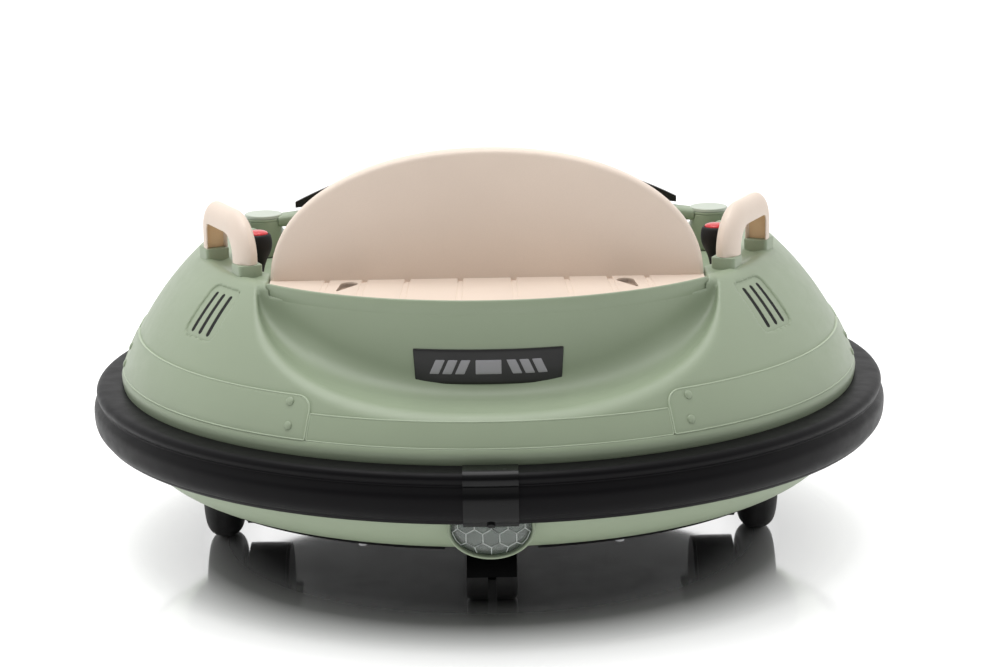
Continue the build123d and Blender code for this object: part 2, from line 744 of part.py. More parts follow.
for name, side in SIDES.items():
    x = side * STICK_X
    with BuildPart() as joystick:
        with BuildSketch(Plane(origin=(x, STICK_Y, 0), x_dir=(1, 0, 0), z_dir=(0, -1, 0))):
            with BuildLine():
                Polyline((0, 226), (5, 226), (5, 261), (5.6, 262), (5.6, 278))
                Spline(
                    (5.6, 278),
                    (9.5, 289),
                    (13.5, 300),
                    (11.8, STICK_TOP_Z),
                    tangents=((0, 1), (-0.4, 1)),
                )
                Polyline((11.8, STICK_TOP_Z), (0, STICK_TOP_Z), (0, 226))
            make_face()
        revolve(axis=Axis((x, STICK_Y, 0), (0, 0, 1)))
        # eye on the pivot pin, and the seat of the thumb button
        with BuildSketch(Plane.YZ.offset(x - 6)):
            with Locations((STICK_Y, STICK_PIVOT_Z)):
                Circle(7.5)
        extrude(amount=12)
        with BuildSketch(Plane.YZ.offset(x - 8)):
            with Locations((STICK_Y, STICK_PIVOT_Z)):
                Circle(STICK_PIN_R + RUN_GAP)
        extrude(amount=16, mode=Mode.SUBTRACT)
        with BuildSketch(Plane.XY.offset(STICK_TOP_Z - 4)):
            with Locations((x, STICK_Y)):
                Circle(10.4)
        extrude(amount=10, mode=Mode.SUBTRACT)
        with BuildSketch(Plane.XY.offset(STICK_TOP_Z - 16)):
            with Locations((x, STICK_Y)):
                Circle(3.3)
        extrude(amount=16, mode=Mode.SUBTRACT)
    save(joystick, f"{name}_joystick")
    with BuildPart() as button:
        with BuildSketch(Plane.XY.offset(STICK_TOP_Z - 1.4)):
            with Locations((x, STICK_Y)):
                Circle(10)
        extrude(amount=4.2)
        fillet(button.edges().filter_by(GeomType.CIRCLE).sort_by(Axis.Z)[-1], 1.6)
        with BuildSketch(Plane.XY.offset(STICK_TOP_Z - 13)):
            with Locations((x, STICK_Y)):
                Circle(3)
        extrude(amount=12)
    save(button, f"{name}_joystick_button")

with BuildPart() as stick_mounts:
    for side in SIDES.values():
        x = side * STICK_X
        under = DISH_Z - WALL - 0.3
        # collar on the deck, plate below it, two ears and the pivot pin
        with BuildSketch(Plane.XY.offset(DISH_Z + 0.1)):
            with Locations((x, STICK_Y)):
                Circle(19)
            Circle(DISH_R - 0.5, mode=Mode.INTERSECT)
            with Locations((x, STICK_Y)):
                Circle(12, mode=Mode.SUBTRACT)
        extrude(amount=4)
        with BuildSketch(Plane.XY.offset(under)):
            with Locations((x, STICK_Y)):
                RectangleRounded(34, 40, 4)
                Circle(12, mode=Mode.SUBTRACT)
        extrude(amount=-3)
        with BuildSketch(Plane.XY.offset(under - 3)):
            with Locations((x - 8, STICK_Y), (x + 8, STICK_Y)):
                Rectangle(3, 16)
        extrude(amount=-14)
        with BuildSketch(Plane.YZ.offset(x - 10.5)):
            with Locations((STICK_Y, STICK_PIVOT_Z)):
                Circle(STICK_PIN_R)
        extrude(amount=21)
save(stick_mounts, "stick_mounts")

# ---------------------------------------------------------------- dashboard


def beam_edge(z_end, z_middle):
    """Height of an edge of the dashboard's beam, from a post to the middle."""
    return (-POST_X, z_end), (0, z_middle), (POST_X, z_end)


BEAM_TOP = beam_edge(290.5, 302)
BEAM_BOTTOM = beam_edge(271, 280)

with BuildPart() as dash_bridge:
    with BuildSketch(Plane.XY.offset(DISH_Z + 0.2)):
        with Locations((POST_X, POST_Y), (-POST_X, POST_Y)):
            Circle(POST_R)
    extrude(amount=POST_TOP_Z - DISH_Z)
    with BuildSketch(Plane.XZ.offset(-POST_Y - BEAM_DEEP / 2)):
        with BuildLine():
            ThreePointArc(*BEAM_TOP)
            Line(BEAM_TOP[2], BEAM_BOTTOM[2])
            ThreePointArc(*BEAM_BOTTOM)
            Line(BEAM_BOTTOM[0], BEAM_TOP[0])
        make_face()
    extrude(amount=BEAM_DEEP)
    # flat tops for the post caps
    with BuildSketch(Plane.XY.offset(POST_TOP_Z + 0.2)):
        with Locations((POST_X, POST_Y), (-POST_X, POST_Y)):
            Circle(POST_R + 0.4)
    extrude(amount=20, mode=Mode.SUBTRACT)
    # console in the middle, hollow and open towards the rider
    with BuildSketch(Plane.XZ.offset(-PANEL_Y)):
        with Locations((0, CONSOLE_Z)):
            RectangleRounded(CONSOLE_WIDE, CONSOLE_TALL, 3)
    extrude(amount=66)
    inside = (CONSOLE_WIDE - 2 * CONSOLE_WALL, 60, CONSOLE_TALL - 2 * CONSOLE_WALL)
    with Locations((0, PANEL_Y - 30, CONSOLE_Z)):
        Box(*inside, mode=Mode.SUBTRACT)
save(dash_bridge, "dash_bridge")

with BuildPart() as post_caps:
    with BuildSketch(Plane.XY.offset(POST_TOP_Z + 0.3)):
        with Locations((POST_X, POST_Y), (-POST_X, POST_Y)):
            Circle(POST_R)
    extrude(amount=3)
    fillet(post_caps.edges().filter_by(GeomType.CIRCLE).group_by(Axis.Z)[-1], 1)
save(post_caps, "post_caps")

with BuildPart() as windscreen:
    with BuildSketch(Plane.XZ.offset(-POST_Y + 3)):
        with BuildLine():
            end_z = BEAM_TOP[0][1] + 3.2
            ThreePointArc(
                (-SCREEN_HALF_WIDTH, end_z), (0, BEAM_TOP[1][1] + 3.2), (SCREEN_HALF_WIDTH, end_z)
            )
            Line((SCREEN_HALF_WIDTH, end_z), (SCREEN_HALF_WIDTH, 299.5))
            ThreePointArc(
                (SCREEN_HALF_WIDTH, 299.5), (0, SCREEN_TOP_Z), (-SCREEN_HALF_WIDTH, 299.5)
            )
            Line((-SCREEN_HALF_WIDTH, 299.5), (-SCREEN_HALF_WIDTH, end_z))
        make_face()
        # notch for the console
        with Locations((0, CONSOLE_Z)):
            Rectangle(CONSOLE_WIDE + 1, CONSOLE_TALL + 1, mode=Mode.SUBTRACT)
    extrude(amount=5)
save(windscreen, "windscreen")

with BuildPart() as dash_panel:
    with BuildSketch(Plane.XZ.offset(-PANEL_Y)):
        with Locations((0, CONSOLE_Z)):
            RectangleRounded(CONSOLE_WIDE, CONSOLE_TALL, 3)
        with Locations((SWITCH_X, CONSOLE_Z)):
            Rectangle(20, 14, mode=Mode.SUBTRACT)
        for x in DASH_BUTTON_X:
            with Locations((x, CONSOLE_Z)):
                Circle(6.3, mode=Mode.SUBTRACT)
        with Locations((SPEAKER_X, CONSOLE_Z)):
            with PolarLocations(13, 12):
                Circle(1.5, mode=Mode.SUBTRACT)
            with PolarLocations(7, 6):
                Circle(1.5, mode=Mode.SUBTRACT)
            Circle(1.5, mode=Mode.SUBTRACT)
    extrude(amount=-PANEL_THICK)
save(dash_panel, "dash_panel")

# rocker: modelled switched off, tilted about its pivot behind the panel
with BuildPart() as power_switch:
    pivot = Vector(SWITCH_X, PANEL_Y + 1, CONSOLE_Z)
    face = Plane(origin=pivot, x_dir=(0, 1, 0), z_dir=(1, 0, 0)).rotated((SWITCH_REST_TILT, 0, 0))
    with BuildSketch(face):
        with BuildLine():
            Polyline((5.5, -5.6), (-4, -4.2), (-4, 4.2), (5.5, 5.6))
            ThreePointArc((5.5, 5.6), (4.2, 0), (5.5, -5.6))
        make_face()
    extrude(amount=9, both=True)
save(power_switch, "power_switch")

for name, x in zip(("music_button", "horn_button"), DASH_BUTTON_X):
    with BuildPart() as dash_button:
        with BuildSketch(Plane.XZ.offset(-PANEL_Y - PANEL_THICK - 3)):
            with Locations((x, CONSOLE_Z)):
                Circle(5.9)
        extrude(amount=PANEL_THICK + 3.4)
        fillet(dash_button.edges().filter_by(GeomType.CIRCLE).sort_by(Axis.Y)[-1], 1.2)
        with BuildSketch(Plane.XZ.offset(-PANEL_Y + 0.4)):
            with Locations((x, CONSOLE_Z)):
                Circle(7.6)
        extrude(amount=2.6)
    save(dash_button, name)

with BuildPart() as speaker:
    with BuildSketch(Plane.XZ.offset(-PANEL_Y + 0.4)):
        with Locations((SPEAKER_X, CONSOLE_Z)):
            Circle(17.5)
            Circle(15, mode=Mode.SUBTRACT)
    extrude(amount=4)
    with BuildSketch(Plane.XZ.offset(-PANEL_Y + 3)):
        with Locations((SPEAKER_X, CONSOLE_Z)):
            Circle(15.5)
    extrude(amount=12, taper=18)
    with BuildSketch(Plane.XZ.offset(-PANEL_Y + 14)):
        with Locations((SPEAKER_X, CONSOLE_Z)):
            Circle(10)
    extrude(amount=7)
save(speaker, "speaker")

# ---------------------------------------------------------------- lamps and electrics

with BuildPart() as lamp_boards:
    for end in ENDS.values():
        with BuildSketch(Plane.XZ.offset(-end * (LAMP_FACE_Y - 14))):
            with Locations((0, LAMP_Z)):
                Ellipse(LAMP_HALF_WIDE - 3.4, LAMP_HALF_TALL - 3.4)
        extrude(amount=1.6 * end)
        with BuildSketch(Plane.XZ.offset(-end * (LAMP_FACE_Y - 14))):
            with Locations((-13, LAMP_Z + 6), (13, LAMP_Z + 6), (0, LAMP_Z - 8)):
                Circle(4.5)
        extrude(amount=-4 * end)

for name, end in ENDS.items():
    with BuildPart() as lamp_housing:
        with BuildSketch(Plane.XZ.offset(-end * (LAMP_FACE_Y + 3))):
            with Locations((0, LAMP_Z)):
                Ellipse(LAMP_HALF_WIDE, LAMP_HALF_TALL)
                Ellipse(LAMP_HALF_WIDE - 3, LAMP_HALF_TALL - 3, mode=Mode.SUBTRACT)
        extrude(amount=31 * end)
        with BuildSketch(Plane.XZ.offset(-end * (LAMP_FACE_Y - 20))):
            with Locations((0, LAMP_Z)):
                Ellipse(LAMP_HALF_WIDE - 1, LAMP_HALF_TALL - 1)
        extrude(amount=3 * end)
    save(lamp_housing, f"{name}_lamp_housing")
    with BuildPart() as lamp_lens:
        with BuildSketch(Plane.XZ.offset(-end * (LAMP_FACE_Y - 6))):
            with Locations((0, LAMP_Z)):
                Ellipse(LAMP_HALF_WIDE - 3.2, LAMP_HALF_TALL - 3.2)
        extrude(amount=-15 * end)
        fillet(lamp_lens.edges().sort_by(Axis.Y)[-1 if end > 0 else 0], 6)
        with BuildSketch(Plane.XZ.offset(-end * (LAMP_FACE_Y - 7))):
            with Locations((0, LAMP_Z)):
                Ellipse(LAMP_HALF_WIDE - 6, LAMP_HALF_TALL - 6)
        extrude(amount=-12 * end, mode=Mode.SUBTRACT)
    save(lamp_lens, f"{name}_lamp_lens")
save(lamp_boards, "lamp_boards")

with BuildPart() as charging_socket:
    # flange on the wall, barrel behind it, and the dust cap pushed in over the port
    with BuildSketch(Plane.XZ.offset(-SEAT_FRONT_Y + 0.1)):
        with Locations(SOCKET_AT):
            Circle(12)
    extrude(amount=3)
    with BuildSketch(Plane.XZ.offset(-SEAT_FRONT_Y + 3)):
        with Locations(SOCKET_AT):
            Circle(SOCKET_CAP_R)
    extrude(amount=2.6)
    fillet(charging_socket.edges().filter_by(GeomType.CIRCLE).sort_by(Axis.Y)[0], 1.2)
    with BuildSketch(Plane.XZ.offset(-SEAT_FRONT_Y + 0.2)):
        with Locations(SOCKET_AT):
            Circle(9)
    extrude(amount=-23)
save(charging_socket, "charging_socket")

BATTERY_BOTTOM_Z = PAN_TOP_Z + 0.3
with BuildPart() as battery:
    with Locations((0, BATTERY_Y, BATTERY_BOTTOM_Z + BATTERY_SIZE[2] / 2)):
        Box(*BATTERY_SIZE)
    fillet(battery.edges().filter_by(Axis.Z), 3)
    with BuildSketch(Plane.XY.offset(BATTERY_BOTTOM_Z + BATTERY_SIZE[2])):
        with Locations((30, 10), (-30, 10)):
            Circle(4)
    extrude(amount=6)
save(battery, "battery")

with BuildPart() as control_board:
    with Locations((-78, 60, 96)):
        Box(2, 90, 34)
    with Locations((-72, 40, 96), (-72, 62, 96)):
        Box(10.2, 15, 19)
    with Locations((-73, 86, 96)):
        Box(8.2, 16, 26)
save(control_board, "control_board")

# ---------------------------------------------------------------- gear trains


def gear_face(module, teeth, tooth_at, thinner=0.12):
    """Face of an involute spur gear, with one tooth centred at an angle in degrees."""
    pitch_r = module * teeth / 2
    base_r = pitch_r * cos(radians(PRESSURE_ANGLE))
    tip_r = pitch_r + 0.9 * module
    root_r = pitch_r - 1.2 * module
    flat = tan(radians(PRESSURE_ANGLE)) - radians(PRESSURE_ANGLE)
    half_tooth = pi / 2 / teeth - thinner / 2 / pitch_r
    start_r = max(base_r, root_r + 0.02)
    flank = []
    for step in range(5):
        r = start_r + (tip_r - start_r) * step / 4
        roll = sqrt(max((r / base_r) ** 2 - 1, 0))
        half = half_tooth + flat - (roll - atan2(roll, 1))
        flank.append((r, half))
    points = []
    for tooth in range(teeth):
        middle = radians(tooth_at) + 2 * pi * tooth / teeth
        side_a = [(root_r, -flank[0][1])] + [(r, -half) for r, half in flank]
        side_b = [(r, half) for r, half in reversed(flank)] + [(root_r, flank[0][1])]
        for r, turn in side_a + side_b:
            points.append((r * cos(middle + turn), r * sin(middle + turn)))
    with BuildSketch() as face:
        with BuildLine():
            Polyline(*points, close=True)
        make_face()
    return face.sketch


def polar(centre, distance, direction):
    return (
        centre[0] + distance * cos(radians(direction)),
        centre[1] + distance * sin(radians(direction)),
    )


# places in the (Y, Z) plane
AXLE_AT = (0.0, WHEEL_R)
COARSE_DISTANCE = COARSE_MODULE * (OUTPUT_TEETH + IDLER_PINION_TEETH) / 2 + MESH_GAP
FINE_DISTANCE = FINE_MODULE * (IDLER_TEETH + PINION_TEETH) / 2 + MESH_GAP
IDLER_AT = polar(AXLE_AT, COARSE_DISTANCE, IDLER_DIRECTION)
MOTOR_AT = polar(IDLER_AT, FINE_DISTANCE, MOTOR_DIRECTION)

FINE_X = (201.0, 207.0)        # pinion and large idler wheel
COARSE_X = (208.5, 218.5)      # small idler wheel and output gear
COVER_X = (194.8, 197.8)
IDLER_PIN_R = 3.0
MOTOR_SHAFT_R = 1.6


def side_plane(x):
    """The (Y, Z) plane at x, with +Y to the right and +Z up."""
    return Plane(origin=(x, 0, 0), x_dir=(0, 1, 0), z_dir=(1, 0, 0))


def gear_at(x_range, module, teeth, centre, tooth_at):
    with BuildSketch(side_plane(x_range[0])) as face:
        with Locations(centre):
            add(gear_face(module, teeth, tooth_at))
    extrude(face.sketch, amount=x_range[1] - x_range[0])


def disc_at(x_range, centre, r, mode=Mode.ADD):
    with BuildSketch(side_plane(x_range[0])) as face:
        with Locations(centre):
            Circle(r)
    extrude(face.sketch, amount=x_range[1] - x_range[0], mode=mode)


def case_outline(inset):
    """Outline of the gearbox round its three shafts."""
    with BuildSketch() as outline:
        with Locations(AXLE_AT):
            Circle(CASE_R - inset)
        with Locations(IDLER_AT):
            Circle(29.5 - inset)
        with Locations(MOTOR_AT):
            Circle(20 - inset)
        make_hull()
    return outline.sketch


with BuildPart() as output_gear:
    gear_at(COARSE_X, COARSE_MODULE, OUTPUT_TEETH, AXLE_AT, IDLER_DIRECTION)
    disc_at((COARSE_X[0], COARSE_X[1] + 3), AXLE_AT, 12)
    disc_at((150, 300), AXLE_AT, AXLE_R, Mode.SUBTRACT)
    with BuildSketch(side_plane(COARSE_X[0])):
        with Locations(AXLE_AT):
            with PolarLocations(21, 6):
                Circle(5.5)
    extrude(amount=20, mode=Mode.SUBTRACT)

with BuildPart() as idler_gear:
    gear_at(FINE_X, FINE_MODULE, IDLER_TEETH, IDLER_AT, MOTOR_DIRECTION)
    disc_at((FINE_X[1] - 0.5, COARSE_X[0] + 0.5), IDLER_AT, 7.5)
    small_tooth = IDLER_DIRECTION + 180 + 180 / IDLER_PINION_TEETH
    gear_at(COARSE_X, COARSE_MODULE, IDLER_PINION_TEETH, IDLER_AT, small_tooth)
    disc_at((150, 300), IDLER_AT, IDLER_PIN_R + RUN_GAP, Mode.SUBTRACT)

with BuildPart() as motor_pinion:
    pinion_tooth = MOTOR_DIRECTION + 180 + 180 / PINION_TEETH
    gear_at(FINE_X, FINE_MODULE, PINION_TEETH, MOTOR_AT, pinion_tooth)
    disc_at((COVER_X[0] - 15, FINE_X[1] + 1), MOTOR_AT, MOTOR_SHAFT_R)

with BuildPart() as drive_axle:
    disc_at((COVER_X[0] - 2.5, WHEEL_X + WHEEL_WIDTH / 2 - 1), AXLE_AT, AXLE_R)

with BuildPart() as gear_case:
    with BuildSketch(side_plane(CASE_INNER_X)):
        add(case_outline(0))
    extrude(amount=CASE_OUTER_X - CASE_INNER_X)
    with BuildSketch(side_plane(CASE_INNER_X)):
        add(case_outline(CASE_WALL))
    extrude(amount=CASE_OUTER_X - CASE_INNER_X - CASE_WALL, mode=Mode.SUBTRACT)
    # mounting feet on the bottom plate, axle bearing and idler pin
    for y in (-CASE_R - 12, CASE_R + 12):
        with Locations(((CASE_INNER_X + CASE_OUTER_X) / 2, y, PAN_TOP_Z + 2.1)):
            Box(26, 30, 4)
    with BuildSketch(side_plane(CASE_INNER_X)):
        add(case_outline(CASE_WALL))
    extrude(amount=CASE_OUTER_X - CASE_INNER_X - CASE_WALL, mode=Mode.SUBTRACT)
    disc_at((COARSE_X[1] + 3.5, CASE_OUTER_X + 2), AXLE_AT, 9)
    disc_at((150, 300), AXLE_AT, AXLE_R + RUN_GAP, Mode.SUBTRACT)
    disc_at((CASE_INNER_X + 0.2, CASE_OUTER_X - 1), IDLER_AT, IDLER_PIN_R)
    disc_at((COARSE_X[1] + 0.6, CASE_OUTER_X - 1), IDLER_AT, 6)

with BuildPart() as gear_cover:
    with BuildSketch(side_plane(COVER_X[0])):
        add(case_outline(0))
    extrude(amount=COVER_X[1] - COVER_X[0])
    disc_at((150, 300), AXLE_AT, AXLE_R + RUN_GAP, Mode.SUBTRACT)
    disc_at((150, 300), MOTOR_AT, MOTOR_SHAFT_R + 1.4, Mode.SUBTRACT)

with BuildPart() as motor:
    disc_at((COVER_X[0] - 0.1 - MOTOR_LENGTH, COVER_X[0] - 0.1), MOTOR_AT, MOTOR_R)
    fillet(motor.edges().filter_by(GeomType.CIRCLE), 1.5)
    disc_at((COVER_X[0] - 16, COVER_X[0]), MOTOR_AT, MOTOR_SHAFT_R + RUN_GAP, Mode.SUBTRACT)
    for direction in (0, 180):
        with Locations((COVER_X[0] - MOTOR_LENGTH - 2.5, *polar(MOTOR_AT, 9, direction))):
            Box(5, 1, 4)

# ---------------------------------------------------------------- drive wheels

INNER_FACE_X = WHEEL_X - WHEEL_WIDTH / 2
OUTER_FACE_X = WHEEL_X + WHEEL_WIDTH / 2
RIM_R = 42.0


WHEEL_AXIS = Axis((0, 0, WHEEL_R), (1, 0, 0))
WHEEL_PROFILE_PLANE = Plane(origin=(0, 0, WHEEL_R), x_dir=(0, 1, 0), z_dir=(0, 0, 1))


def wheel_profile(points):
    """Revolve a profile of (distance from the axle, x) points about the axle."""
    with BuildSketch(WHEEL_PROFILE_PLANE) as face:
        with BuildLine():
            Polyline(*[(r, -x) for r, x in points], close=True)
        make_face()
    revolve(face.sketch, axis=WHEEL_AXIS)


with BuildPart() as wheel_tyre:
    with BuildSketch(WHEEL_PROFILE_PLANE):
        with BuildLine():
            Polyline(
                (WHEEL_R - 14, -INNER_FACE_X),
                (RIM_R, -INNER_FACE_X),
                (RIM_R, -OUTER_FACE_X),
                (WHEEL_R - 14, -OUTER_FACE_X),
            )
            ThreePointArc(
                (WHEEL_R - 14, -OUTER_FACE_X),
                (WHEEL_R - 3.8, -OUTER_FACE_X + 4.5),
                (WHEEL_R, -WHEEL_X - 4),
            )
            Line((WHEEL_R, -WHEEL_X - 4), (WHEEL_R, -WHEEL_X + 4))
            ThreePointArc(
                (WHEEL_R, -WHEEL_X + 4),
                (WHEEL_R - 3.8, -INNER_FACE_X - 4.5),
                (WHEEL_R - 14, -INNER_FACE_X),
            )
        make_face()
    revolve(axis=WHEEL_AXIS)

with BuildPart() as wheel_hub:
    wheel_profile(
        (
            (AXLE_R, INNER_FACE_X + 1),
            (12, INNER_FACE_X + 1),
            (12, WHEEL_X - 2),
            (RIM_R - 4, WHEEL_X - 2),
            (RIM_R - 4, INNER_FACE_X + 2),
            (RIM_R, INNER_FACE_X + 2),
            (RIM_R, OUTER_FACE_X - 2),
            (RIM_R - 4, OUTER_FACE_X - 2),
            (RIM_R - 5, WHEEL_X + 4),
            (22, WHEEL_X + 6),
            (19, OUTER_FACE_X),
            (AXLE_R, OUTER_FACE_X),
        )
    )

DRIVE = {
    "output_gear": output_gear,
    "idler_gear": idler_gear,
    "motor_pinion": motor_pinion,
    "drive_axle": drive_axle,
    "gear_case": gear_case,
    "gear_cover": gear_cover,
    "motor": motor,
    "wheel_tyre": wheel_tyre,
    "wheel_hub": wheel_hub,
}
for name, piece in DRIVE.items():
    save(piece, f"left_{name}")
    with BuildPart() as mirrored:
        add(mirror(piece.part, Plane.YZ))
    save(mirrored, f"right_{name}")

# ---------------------------------------------------------------- casters

AXLE_Z = CASTER_R
WEB_HALF = 3.4
for name, end in ENDS.items():
    swivel_y = end * CASTER_Y
    wheel_at = (swivel_y + CASTER_TRAIL, AXLE_Z)
    with BuildPart() as fork:
        # web between the wheels, hood over them, boss and stem
        with BuildSketch(side_plane(-WEB_HALF)):
            with Locations(wheel_at):
                Circle(9)
            with Locations((swivel_y, 60)):
                Circle(11)
            with Locations((swivel_y + CASTER_TRAIL, AXLE_Z + 22)):
                Circle(9)
            make_hull()
        extrude(amount=2 * WEB_HALF)
        with BuildSketch(side_plane(-CASTER_HALF_WIDTH + 0.6)):
            with Locations(wheel_at):
                Circle(CASTER_R + 4.5)
                Circle(CASTER_R + 1.5, mode=Mode.SUBTRACT)
            with Locations((wheel_at[0], AXLE_Z - 22)):
                Rectangle(90, 50, mode=Mode.SUBTRACT)
        extrude(amount=2 * CASTER_HALF_WIDTH - 1.2)
        with BuildSketch(Plane.XY.offset(57)):
            with Locations((0, swivel_y)):
                Circle(13)
        extrude(amount=PAN_BOTTOM_Z - 0.4 - 57)
        disc_at((-60, -WEB_HALF), wheel_at, CASTER_R + 1.5, Mode.SUBTRACT)
        disc_at((WEB_HALF, 60), wheel_at, CASTER_R + 1.5, Mode.SUBTRACT)
        with BuildSketch(Plane.XY.offset(66)):
            with Locations((0, swivel_y)):
                Circle(CASTER_STEM_R)
        extrude(amount=SOCKET_TOP_Z - 3.6 - 66)
        disc_at((-60, 60), wheel_at, 3 + RUN_GAP, Mode.SUBTRACT)
    save(fork, f"{name}_caster_fork")
    with BuildPart() as rollers:
        for inner, outer in ((WEB_HALF + 0.4, CASTER_HALF_WIDTH), (-CASTER_HALF_WIDTH, -WEB_HALF - 0.4)):
            disc_at((inner, outer), wheel_at, CASTER_R)
        fillet(
            rollers.edges().filter_by(GeomType.CIRCLE).filter_by(
                lambda e: abs(abs(e.center().X) - CASTER_HALF_WIDTH) < 0.1
            ),
            5,
        )
        disc_at((-CASTER_HALF_WIDTH + 2, CASTER_HALF_WIDTH - 2), wheel_at, 3)
    save(rollers, f"{name}_caster_wheels")
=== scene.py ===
"""A child's ride-on bumper car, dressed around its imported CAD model."""

import json
from math import asin, atan2, ceil, cos, degrees, hypot, pi, radians, sin, sqrt

import bmesh
import bpy
import numpy as np
from mathutils import Matrix, Vector


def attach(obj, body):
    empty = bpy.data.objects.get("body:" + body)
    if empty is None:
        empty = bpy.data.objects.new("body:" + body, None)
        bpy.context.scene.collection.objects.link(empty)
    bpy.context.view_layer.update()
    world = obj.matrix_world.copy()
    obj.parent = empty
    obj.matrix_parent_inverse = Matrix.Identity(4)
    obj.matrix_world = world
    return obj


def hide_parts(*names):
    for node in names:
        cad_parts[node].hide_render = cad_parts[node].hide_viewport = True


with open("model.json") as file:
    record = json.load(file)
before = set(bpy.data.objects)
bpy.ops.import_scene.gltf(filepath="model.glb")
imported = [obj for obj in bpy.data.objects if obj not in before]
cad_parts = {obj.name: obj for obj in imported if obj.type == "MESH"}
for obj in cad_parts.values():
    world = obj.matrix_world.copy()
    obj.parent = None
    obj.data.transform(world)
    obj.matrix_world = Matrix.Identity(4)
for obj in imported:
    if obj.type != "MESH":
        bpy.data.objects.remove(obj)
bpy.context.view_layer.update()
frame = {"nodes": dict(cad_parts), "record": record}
NODES = frame["nodes"]

MM = 0.001
SIDES = {"left": 1, "right": -1}
ENDS = {"rear": 1, "front": -1}

# ---- driving sizes, millimetres

BAND_R, BAND_Z = 347.0, 171.0
CREST_R, CREST_Z = 268.0, 286.0
DISH_R, DISH_Z = 234.8, 248.0
FLANGE_R, JOIN_Z = 341.0, 118.0
SKIN = 5.4                     # the shell's wall, over twice the finer cell of its mesh
SCOOP_HALF, ENTRY_HALF, SCOOP_DEPTH, SCOOP_POWER = 203.0, 211.0, 82.0, 2.5
ENTRY_START_Y = -96.0
REAR_LEDGE_Z = 202.0
FOOT_HALF, FOOT_FRONT_Y, FOOT_REAR_Y, FOOT_Z = 150.0, -283.0, -42.0, 100.0
SEAT_WELL_HALF, SEAT_WELL_FRONT_Y, SEAT_REAR_Y, SEAT_WELL_Z = 164.0, -82.0, 128.0, 156.0
BACK_HALF, BACK_TOP_Z, BACK_REAR_Y, BACK_THICK = 193.0, 398.0, 160.0, 21.0
BACK_POWER = 2.1
SHELF_Z, SHELF_R = 283.0, 264.6
RIM_LOW_Z = 276.0              # above this, the rim behind the shelf is a piece of its own
HANDLE_REAR, HANDLE_FRONT = (215.5, 136.0), (252.5, 55.0)
HANDLE_FOOT_Z, HANDLE_AXIS_Z = 295.0, 328.4
STICK_X, STICK_Y, STICK_TOP_Z = 212.0, 60.0, 307.2
POST_X, POST_Y, POST_R = 222.0, -138.0, 18.6
POST_TOP_Z = 286.0
RING_INNER_R = 345.2
LAMP_Z, LAMP_HALF_WIDE, LAMP_HALF_TALL, LAMP_FACE_Y = 106.0, 37.3, 27.0, 342.0
LAMP_TUNNEL_Y = 292.0
VENT_AZIMUTH, VENT_Z = 56.0, 258.0
VALLEY_R, VALLEY_HALF, VALLEY_DEEP = 254.0, 13.0, 2.5
WAY_CENTRE, WAY_HALF = (214.0, -113.0), (28.0, 30.0)
HATCH_Y, HATCH_Z = 45.0, 154.0
HATCH_HALF_X, HATCH_HALF_Y, HATCH_HALF_Z = 59.0, 54.0, 14.0
STICK_HOLE_R, POST_HOLE_R = 12.5, 8.0
ARM_Z, ARM_HALF_THICK = 251.8, 3.2
BUCKET_Z, BUCKET_HALF_TALL, BUCKET_FRONT_Y = 203.0, 46.5, -41.0

CELL_SHELL = 2.4
CELL_SEAT = 2.2

# ---- the dome's arc


def circle_through(a, b, c):
    """Centre and radius of the circle through three points."""
    ax, az, bx, bz, cx, cz = *a, *b, *c
    d = 2 * (ax * (bz - cz) + bx * (cz - az) + cx * (az - bz))
    aa, bb, cc = ax * ax + az * az, bx * bx + bz * bz, cx * cx + cz * cz
    x = (aa * (bz - cz) + bb * (cz - az) + cc * (az - bz)) / d
    z = (aa * (cx - bx) + bb * (ax - cx) + cc * (bx - ax)) / d
    return (x, z), hypot(ax - x, az - z)


DOME_CENTRE, DOME_R = circle_through((BAND_R, BAND_Z), (317.2, 231.0), (276.0, 280.0))


def dome_point(azimuth, z, out=0.0):
    """A point on the dome's side, azimuth in degrees from +Y towards +X, moved out by a distance."""
    slope = asin((z - DOME_CENTRE[1]) / DOME_R)
    r = DOME_CENTRE[0] + (DOME_R + out) * cos(slope)
    height = DOME_CENTRE[1] + (DOME_R + out) * sin(slope)
    return Vector((r * sin(radians(azimuth)), r * cos(radians(azimuth)), height))


def dome_along(z):
    """Distance along the dome's arc up to height z."""
    return asin((z - DOME_CENTRE[1]) / DOME_R) * DOME_R


VENT_LOW_Z, VENT_HIGH_Z, VENT_HALF_TURN = 237.0, 277.0, 4.7
VENT_ALONG = (dome_along(VENT_LOW_Z) + dome_along(VENT_HIGH_Z)) / 2
VENT_RHO = hypot(*dome_point(0, VENT_Z)[:2])
VENT_HALF = radians(VENT_HALF_TURN) * VENT_RHO, (dome_along(VENT_HIGH_Z) - dome_along(VENT_LOW_Z)) / 2

# ---- solids as distance fields


def join(a, b, r):
    """Union of two distance fields with a hollow fillet of radius r."""
    u, v = np.maximum(r - a, 0), np.maximum(r - b, 0)
    return np.maximum(np.minimum(a, b), r) - np.hypot(u, v)


def both(a, b, r):
    """Intersection of two distance fields with rounded edges of radius r."""
    return -join(-a, -b, r)


def cut(a, b, r):
    """Field a with b taken away, the new edges rounded by r."""
    return both(a, -b, r)


def without(solid, *limits):
    """A field with a sharp-edged hole where every limit is negative."""
    return np.maximum(solid, -np.maximum.reduce(limits))


def rounded_rectangle(x, y, centre, half, corner):
    """Distance to an upright block with a rounded rectangle for its plan."""
    qx = np.abs(x - centre[0]) - (half[0] - corner)
    qy = np.abs(y - centre[1]) - (half[1] - corner)
    return np.hypot(np.maximum(qx, 0), np.maximum(qy, 0)) + np.minimum(np.maximum(qx, qy), 0) - corner


